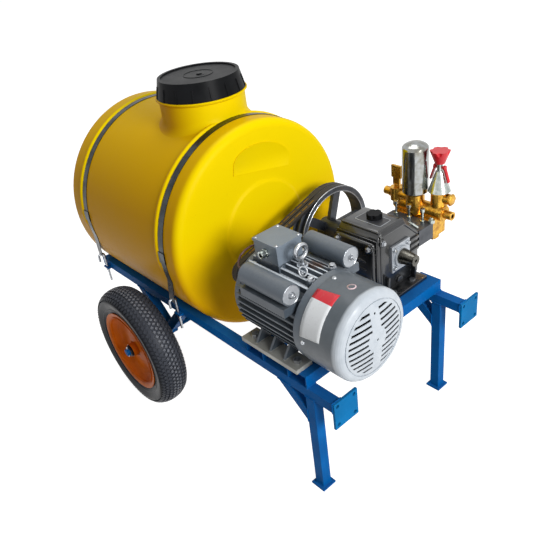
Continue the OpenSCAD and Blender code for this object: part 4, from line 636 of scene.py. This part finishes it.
def makeRimBowl(name, body, side):
    # the pressed bowl runs in one sweep from the rim's lip down to the dish and up to the hub
    outer = [Vector(point) for point in rim["sweep"]]
    inner = [point - Vector((0.0, rim["thick"])) for point in reversed(outer)]
    mesh = bmesh.new()
    addSpin(mesh, [tuple(point) for point in outer + inner + outer[:1]], (0, 0, 0), "y", rim["steps"])
    if side < 0:
        bmesh.ops.scale(mesh, vec=(1, -1, 1), verts=mesh.verts)
    finishPiece(mesh, name, body, "orange_enamel", (), 50, at=(axleAt.x, side * wheelOut, axleAt.z))


makeTyre("tyreRight", "wheel_right", "tyre_right", -1)
makeRimBowl("rimBowlRight", "wheel_right", -1)
makeTyre("tyreLeft", "wheel_left", "tyre_left", 1)
makeRimBowl("rimBowlLeft", "wheel_left", 1)
print("wheels made")

welds = {
    "radius": 2.3, "wander": 0.25, "beat": 2.3, "spacing": 2.6, "outer": -236.0, "inner": -211.0,
    # along both sides of the tubes as x and z of each end, across them as x and z, and on the outside only
    "sides": ((390, 280, 415, 280), (470, 280, 470, 305), (390, 205, 390, 237), (301, 280, 339, 280),
              (-309, 280, -275, 280), (-109, 280, -75, 280)),
    "across": ((415, 280), (338, 305), (398, 305), (198, 305), (258, 305), (470, 305), (415, 5), (390, 5)),
    "outside": ((390, 5, 415, 5), (-98, 288, -72, 288), (-488, 288, -462, 288)),
}


def makeWelds():
    # the ripple of a welding bead along each joint, painted over with the frame
    outer, inner = welds["outer"], welds["inner"]
    lines = [((x, y, z), (toX, y, toZ)) for x, z, toX, toZ in welds["sides"] for y in (outer, inner)]
    lines += [((x, outer, z), (x, inner, z)) for x, z in welds["across"]]
    lines += [((x, outer, z), (toX, outer, toZ)) for x, z, toX, toZ in welds["outside"]]
    mesh = bmesh.new()
    for side in (1, -1):
        for first, last in lines:
            a, b = Vector(first), Vector(last)
            steps = int((b - a).length / welds["spacing"])
            for i in range(steps + 1):
                at = a.lerp(b, i / steps)
                radius = welds["radius"] + welds["wander"] * math.sin(i * welds["beat"] + a.x)
                bmesh.ops.create_icosphere(mesh, subdivisions=1, radius=radius,
                                           matrix=shift((at.x, side * at.y, at.z)))
    finishPiece(mesh, "weldBeads", "root", "blue_enamel", (), 180)


makeWelds()
print("frame details made")

label = {"x": (399.0, 453.0), "angles": (9.0, 69.5), "band": 0.5195, "radius": 101.15, "thickness": 0.25,
         "skew": 4.0}
sticker = {"x": 455.0, "angle": 89.0, "radius": 9.5, "border": 1.6}
finishes["label"] = printedPaper("coated label paper with a red band", "#e3e6e8", "#cf2432", label["band"])
finishes["sticker"] = printedPaper("coated sticker paper", "#dfc3c7")


def onCover(x, angle):
    reach = label["radius"]
    return Vector((x, motorAt.y - reach * math.cos(angle), motorAt.z + reach * math.sin(angle)))


def makeLabels():
    # a bare label and a bare round sticker wrapped on the fan cover
    mesh = bmesh.new()
    bmesh.ops.create_grid(mesh, x_segments=6, y_segments=24, size=0.5)
    first, last = label["angles"]
    for v in mesh.verts:
        u, w = v.co.x + 0.5, v.co.y + 0.5
        angle = math.radians(first + (last - first) * w + label["skew"] * (u - 0.5))
        v.co = onCover(label["x"][0] + (label["x"][1] - label["x"][0]) * u, angle)
    paper = finishPiece(mesh, "motorLabel", "root", "white_plastic", (), 180, finish=finishes["label"])
    mesh = bmesh.new()
    bmesh.ops.create_circle(mesh, cap_ends=True, segments=32, radius=sticker["radius"])
    bmesh.ops.inset_region(mesh, faces=mesh.faces[:], thickness=sticker["border"], use_even_offset=True)
    for v in mesh.verts:
        v.co = onCover(sticker["x"] + v.co.x, math.radians(sticker["angle"]) + v.co.y / label["radius"])
    disc = finishPiece(mesh, "motorSticker", "root", "white_plastic", (), 180, finish=finishes["sticker"])
    for piece in (paper, disc):
        sheet = piece.modifiers.new("paper", "SOLIDIFY")
        sheet.thickness, sheet.offset = label["thickness"] * 0.001, 1


motorTrim = {"topBolts": ((118, -24), (118, 40), (212, -26), (212, 36)), "topLevel": 94.0, "ring": (186, -22),
             "ringRadius": 10.0, "ringWire": 2.0, "coverScrews": 4, "coverScrewX": 252.0, "coverScrew": 5.0,
             "lidScrew": 3.6, "lidInset": 6.0, "shieldBolts": 4, "shieldCircle": 78.0}
capacitors = {"ends": ((368, -222, 524), (377, -58, 535)), "crimp": 21.5, "crimpWire": 0.9, "washer": 8.0}


def makeMotorTrim():
    bright, painted = bmesh.new(), bmesh.new()
    for x, y in motorTrim["topBolts"]:
        at = motorAt + Vector((x, y, motorTrim["topLevel"]))
        addRod(painted, at - Vector((0, 0, 14)), "z", 14, 10, 24, 9, 1.0)
        addBolt(bright, at, "z", 12, 6, 8.5)
    # a small lifting ring lying against the fins
    x, y = motorTrim["ring"]
    hub = motorAt + Vector((x, y, 97))
    lying = shift(hub + Vector((0, 0, 5))) @ Matrix.Rotation(math.radians(62), 4, "Y")
    addHoop(bright, lying, motorTrim["ringRadius"], motorTrim["ringWire"])
    addRod(bright, hub - Vector((4, 0, 6)), "z", 8, 5, 16, None, 0.8)
    for i in range(motorTrim["coverScrews"]):
        turn = Matrix.Rotation(math.tau * i / motorTrim["coverScrews"], 4, "X")
        place = shift(motorAt) @ turn @ shift((motorTrim["coverScrewX"], 0, 101))
        addScrew(bright, painted, place, motorTrim["coverScrew"])
    low, high = (Vector(corner) * 1000 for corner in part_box("terminal_lid"))
    inset = motorTrim["lidInset"]
    for x in (low.x + inset, high.x - inset):
        for y in (low.y + inset, high.y - inset):
            addScrew(bright, painted, shift((x, y, high.z)), motorTrim["lidScrew"])
    for i in range(motorTrim["shieldBolts"]):
        turn = math.radians(45 + 90 * i)
        reach = motorTrim["shieldCircle"]
        addBolt(bright, motorAt + Vector((22, reach * math.cos(turn), reach * math.sin(turn))), "x", 10, 4.5, 7, -1)
    for x, y, z in capacitors["ends"]:
        across = shift((x, y, z)) @ turned("x")
        addHoop(bright, across, capacitors["crimp"], capacitors["crimpWire"])
        addBolt(bright, (x, y, z), "x", 10, 5, capacitors["washer"])
        addRod(bright, (x + 5, y, z), "x", 6, 2.6, 16, None, 0.5)
    finishPiece(bright, "motorScrews", "root", "zinc_steel")
    finishPiece(painted, "motorBosses", "root", "motor_enamel")


makeLabels()
makeMotorTrim()
print("motor details made")

belt = {"print": 3.4, "rise": 0.15, "motorRadius": 32.0, "pumpRadius": 120.0, "plane": 112.0,
        "across": (-9.5, 9.5), "dashes": 9, "first": 0.155, "pitch": 0.09, "dash": 0.07}
finishes["print"] = madeFinish("gold ink printed on belt cloth", "plated", {  # a worn metal glint
    "tones": ("#8c6a2a", "#5f4a22"), "rough": 0.5, "cloud": 3.0})


def makeBeltPrint():
    # bare gold dashes along the upper back of both belts
    dy, dz = pumpAt.y - motorAt.y, pumpAt.z - motorAt.z
    span = math.hypot(dy, dz)
    way = math.atan2(dz, dy) + math.asin((belt["pumpRadius"] - belt["motorRadius"]) / span)
    out, along = Vector((0, -math.sin(way), math.cos(way))), Vector((0, math.cos(way), math.sin(way)))
    run = math.sqrt(span ** 2 - (belt["pumpRadius"] - belt["motorRadius"]) ** 2)
    facing = Matrix((Vector((1, 0, 0)), along, out)).transposed().to_4x4()
    mesh = bmesh.new()
    for offset in belt["across"]:
        base = Vector((belt["plane"] + offset, motorAt.y, motorAt.z)) + out * (belt["motorRadius"] + belt["rise"])
        for i in range(belt["dashes"]):
            place = shift(base + along * run * (belt["first"] + belt["pitch"] * i)) @ facing
            half = Vector((belt["print"] / 2, run * belt["dash"] / 2, 0.1))
            addBlock(mesh, -half, half, 0, 1, place)
    finishPiece(mesh, "beltPrint", "root", "belt_rubber", finish=finishes["print"])


pulleyEdge = {"face": 132.2, "radii": (119.2, 106.4), "wire": 1.0}


def makePulleyEdges():
    # the edges of the rim are turned bright after casting
    mesh = bmesh.new()
    centre = shift((pulleyEdge["face"], pumpAt.y, pumpAt.z)) @ turned("x")
    for radius in pulleyEdge["radii"]:
        addHoop(mesh, centre, radius, pulleyEdge["wire"], 96)
    finishPiece(mesh, "pulleyEdges", "pump_crank", "pulley_iron", finish=finishes["zinc_steel"])


makeBeltPrint()
makePulleyEdges()
print("drive detailed")

pump = {
    "halfLength": 62.5, "outline": ((-77, -86), (-77, 71), (-62, 86), (22, 86), (78, 34), (78, -86)), "round": 9.0,
    # blocks as low corner, high corner and bevel: skid, two webs, three bars beside the flange, pad at the far side
    "blocks": (((-79, -60, -94), (92, 72, -84), 2.0), ((62, -55, -88), (76, -49, -36), 1.5),
               ((62, 44, -88), (76, 50, -36), 1.5), ((60, 40, -16), (66.5, 73, -8), 1.5),
               ((60, 40, 0), (66.5, 73, 8), 1.5), ((60, 40, 16), (66.5, 73, 24), 1.5),
               ((-40, 76, -60), (40, 80, -24), 2.0)),
    # rounded ribs as two ends and a radius, along the edges of the top and front
    "ribs": (((55, -64, 86), (55, 20, 86), 2.6), ((55, 20, 86), (55, 70, 40), 2.6),
             ((62.5, -64, 76), (62.5, 18, 76), 3.2), ((62.5, 18, 76), (62.5, 68, 30), 3.2),
             ((62.5, -66, 76), (62.5, -66, -74), 3.0), ((-55, -66, 85), (55, -66, 85), 2.6)),
    # bosses as start, axis, length, radius, sides and bevel: front, far side, round the base bolts, drain plug
    "bosses": (((60, -62, 60), "x", 7, 10, 28, 1.5), ((-52, 74, -52), "y", 6, 9, 24, 1.0),
               ((52, 74, -52), "y", 6, 9, 24, 1.0), ((-69.5, -38, -86), "z", 1.2, 12, 28, 0.5),
               ((-69.5, 33, -86), "z", 1.2, 12, 28, 0.5), ((76, -38, -86), "z", 1.2, 12, 28, 0.5),
               ((76, 33, -86), "z", 1.2, 12, 28, 0.5), ((60, -4, -66), "x", 9, 11, 6, 0.8)),
    "cover": ((-60, -91, -80), (60, -77, 66)), "coverLip": ((-62, -80, -83), (62, -76.5, 70)),
    "coverBolts": ((-48, 52), (48, 52), (-48, -66), (48, -66)), "coverFace": -92, "coverRibs": (-30, -8, 14),
    "flangeBolts": 25.0, "flangeFace": 68.5,
}


def makePumpCase():
    mesh = bmesh.new()
    addPrism(mesh, pump["outline"], -pump["halfLength"], pump["halfLength"])
    bmesh.ops.recalc_face_normals(mesh, faces=mesh.faces)
    roundEdges(mesh, mesh.edges[:], pump["round"], 4)
    for low, high, bevel in pump["blocks"]:
        addBlock(mesh, low, high, bevel)
    for start, end, radius in pump["ribs"]:
        addBar(mesh, start, end, radius)
    for start, axis, length, radius, sides, bevel in pump["bosses"]:
        addRod(mesh, start, axis, length, radius, sides, None, bevel)
    finishPiece(mesh, "pumpCase", "root", "black_enamel", ("crankcase",), 30, at=pumpAt)


def makePumpCover():
    mesh = bmesh.new()
    face, reach, flange = pump["coverFace"], pump["flangeBolts"], pump["flangeFace"]
    addBlock(mesh, *pump["cover"], 8.0, 4)
    addBlock(mesh, *pump["coverLip"], 1.5)
    for x, z in pump["coverBolts"]:
        addRod(mesh, (x, face, z), "y", 14, 11, 28, None, 2.0)
    for z in pump["coverRibs"]:
        addBlock(mesh, (-38, face - 1, z - 2.5), (38, face + 4, z + 2.5), 1.5)
    finishPiece(mesh, "pumpCover", "root", "black_enamel", ("side_cover",), 30, at=pumpAt)
    bright = bmesh.new()
    for x, z in pump["coverBolts"]:
        addBolt(bright, pumpAt + Vector((x, face, z)), "y", 10, 5, 7, -1)
    for y in (-reach, reach):
        for z in (-reach, reach):
            for sense in (1, -1):
                addBolt(bright, pumpAt + Vector((sense * flange, y, z)), "x", 9, 4.5, 6.5, sense)
    addBolt(bright, pumpAt + Vector((67, -62, 60)), "x", 9, 4.5, 6.5)
    finishPiece(bright, "pumpBolts", "root", "zinc_steel")


plate = {"low": (-37.0, -42.0), "high": (42.0, 1.0), "level": 86.2, "border": 1.6, "corner": 6.0, "taper": 1.0}
finishes["plateFace"] = madeFinish("dark printed aluminium plate", "moulded", {  # flat dark ink
    "tones": ("#26272a", "#323438"), "rough": 0.3})


def makeBarePlate():
    # a bare plate with a bright border and rounded corners, a little narrower at its far side
    for name, inset, low, high, finish in (
            ("plateBorder", 0.0, -0.6, 0.3, finishes["disc_aluminium"]),
            ("plateFace", plate["border"], -0.2, 0.45, finishes["plateFace"])):
        mesh = bmesh.new()
        (x0, y0), (x1, y1) = plate["low"], plate["high"]
        addBlock(mesh, (x0 + inset, y0 + inset, low), (x1 - inset, y1 - inset, high))
        corners = [e for e in mesh.edges if abs(e.verts[0].co.z - e.verts[1].co.z) > 0.3]
        roundEdges(mesh, corners, plate["corner"] - inset, 5)
        middle = (x0 + x1) / 2
        for v in mesh.verts:
            share = (v.co.y - y0) / (y1 - y0)
            v.co.x -= math.copysign(plate["taper"] * share, v.co.x - middle)
        finishPiece(mesh, name, "root", "disc_aluminium", finish=finish, at=pumpAt + Vector((0, 0, plate["level"])))


head = {
    # hexagons as start, axis, length, radius and bevel: three valve caps, two outlet unions, the regulator's seats
    "hexagons": (((-41, 165, -34), "z", 6, 13, 0.8), ((0, 165, -34), "z", 6, 13, 0.8),
                 ((41, 165, -34), "z", 6, 13, 0.8), ((-72, 165, 42), "x", 9, 17.5, 1.2),
                 ((66, 165, 42), "x", 9, 17.5, 1.2), ((84, 172, 81), "x", 7, 15, 1.0),
                 ((52, 172, 92), "z", 7, 24, 1.2)),
    "studs": (-50, -20, 20, 50), "studLevels": (-12, 20), "studFace": 141.5, "grease": (60, 130, 28),
}


def makeHeadTrim():
    # hexagon unions, valve caps and studs on the brass head, and a grease cup
    brass, bright = bmesh.new(), bmesh.new()
    for start, axis, length, radius, bevel in head["hexagons"]:
        addRod(brass, start, axis, length, radius, 6, None, bevel)
    for x in head["studs"]:
        for z in head["studLevels"]:
            addBolt(bright, pumpAt + Vector((x, head["studFace"], z)), "y", 8, 3.6, 0)
    cup = pumpAt + Vector(head["grease"])
    addRod(bright, cup, "z", 10, 8.5, 28, None, 1.5)
    addRod(bright, cup + Vector((0, 0, 10)), "z", 5, 5, 24, None, 1.5)
    finishPiece(brass, "headUnions", "root", "brass", at=pumpAt)
    finishPiece(bright, "headStuds", "root", "nickel")


makePumpCase()
makePumpCover()
makeBarePlate()
makeHeadTrim()
print("pump made")

view = {"place": (1.1445839, -0.8543634, 1.1959388), "azimuth": 52.139312, "elevation": 31.989693,
        "roll": -8.000292, "focal": 612.697036, "frameSize": 554.0, "sensor": 36.0}


def makeCamera():
    camera = bpy.data.cameras.new("camera")
    camera.sensor_width = view["sensor"]
    camera.lens = view["focal"] / view["frameSize"] * view["sensor"]
    camera.clip_start, camera.clip_end = 0.01, 100
    holder = linkObject("camera", camera)
    a, e, roll = (math.radians(view[k]) for k in ("azimuth", "elevation", "roll"))
    back = Vector((math.sin(a) * math.cos(e), -math.cos(a) * math.cos(e), math.sin(e)))
    right = Vector((math.cos(a), math.sin(a), 0))
    up = back.cross(right)
    across = right * math.cos(roll) + up * math.sin(roll)
    above = up * math.cos(roll) - right * math.sin(roll)
    holder.matrix_world = shift(view["place"]) @ Matrix((across, above, back)).transposed().to_4x4()
    bpy.context.scene.camera = holder


lamps = {
    "key": {"at": (3.8, -0.35, 2.1), "size": 1.8, "power": 138.0},
    "top": {"at": (-0.6, 0.6, 4.0), "size": 2.6, "power": 55.0},
    "side": {"at": (-1.4, -3.6, 2.2), "size": 2.4, "power": 6.0},
}
surround = {"fill": 0.2, "floorGlow": 0.92, "floorSize": 14.0, "paper": "#c4c4c4"}


def makeLamp(name, spec):
    lamp = bpy.data.lights.new(name, "AREA")
    lamp.shape, lamp.size, lamp.energy = "DISK", spec["size"], spec["power"]
    holder = linkObject(name, lamp)
    aim = Vector((0.0, 0.0, 0.4)) - Vector(spec["at"])
    holder.matrix_world = shift(spec["at"]) @ aim.to_track_quat("-Z", "Y").to_matrix().to_4x4()


def seenDirectly(tree):
    # one for rays from the camera and for those mirrored or passed on by the object
    path = addNode(tree, "LightPath").node
    seen = addNode(tree, "Math", {"operation": "MAXIMUM"},
                   {0: path.outputs["Is Camera Ray"], 1: path.outputs["Is Glossy Ray"]})
    return addNode(tree, "Math", {"operation": "MAXIMUM"}, {0: seen, 1: path.outputs["Is Transmission Ray"]})


def makeSurround():
    world = bpy.data.worlds.new("studio")
    bpy.context.scene.world = world
    tree = emptyTree(world)
    strength = addNode(tree, "MapRange", {"To Min": surround["fill"]}, {"Value": seenDirectly(tree)})
    light = addNode(tree, "Background", {"Color": (1, 1, 1, 1)}, {"Strength": strength})
    addNode(tree, "OutputWorld", None, {"Surface": light})


def makeFloor():
    # plain studio paper: it takes the cart's shadow and turns white to the camera
    mesh = bmesh.new()
    bmesh.ops.create_grid(mesh, x_segments=1, y_segments=1, size=surround["floorSize"])
    data = bpy.data.meshes.new("floor")
    mesh.to_mesh(data)
    mesh.free()
    floor = linkObject("floor", data)
    finish = bpy.data.materials.new("matt pale studio paper")
    tree = emptyTree(finish)
    paper = addNode(tree, "BsdfDiffuse", {"Color": surround["paper"]})
    glow = addNode(tree, "Emission", {"Color": (1, 1, 1, 1), "Strength": surround["floorGlow"]})
    both = addNode(tree, "AddShader", None, {0: paper, 1: glow})
    mixed = addNode(tree, "MixShader", None, {0: seenDirectly(tree), 1: paper, 2: both})
    addNode(tree, "OutputMaterial", None, {"Surface": mixed})
    data.materials.append(finish)


makeCamera()
for lampName, lampSpec in lamps.items():
    makeLamp(lampName, lampSpec)
makeSurround()
makeFloor()
bpy.context.scene.view_settings.view_transform = "Standard"
print("view and light made")
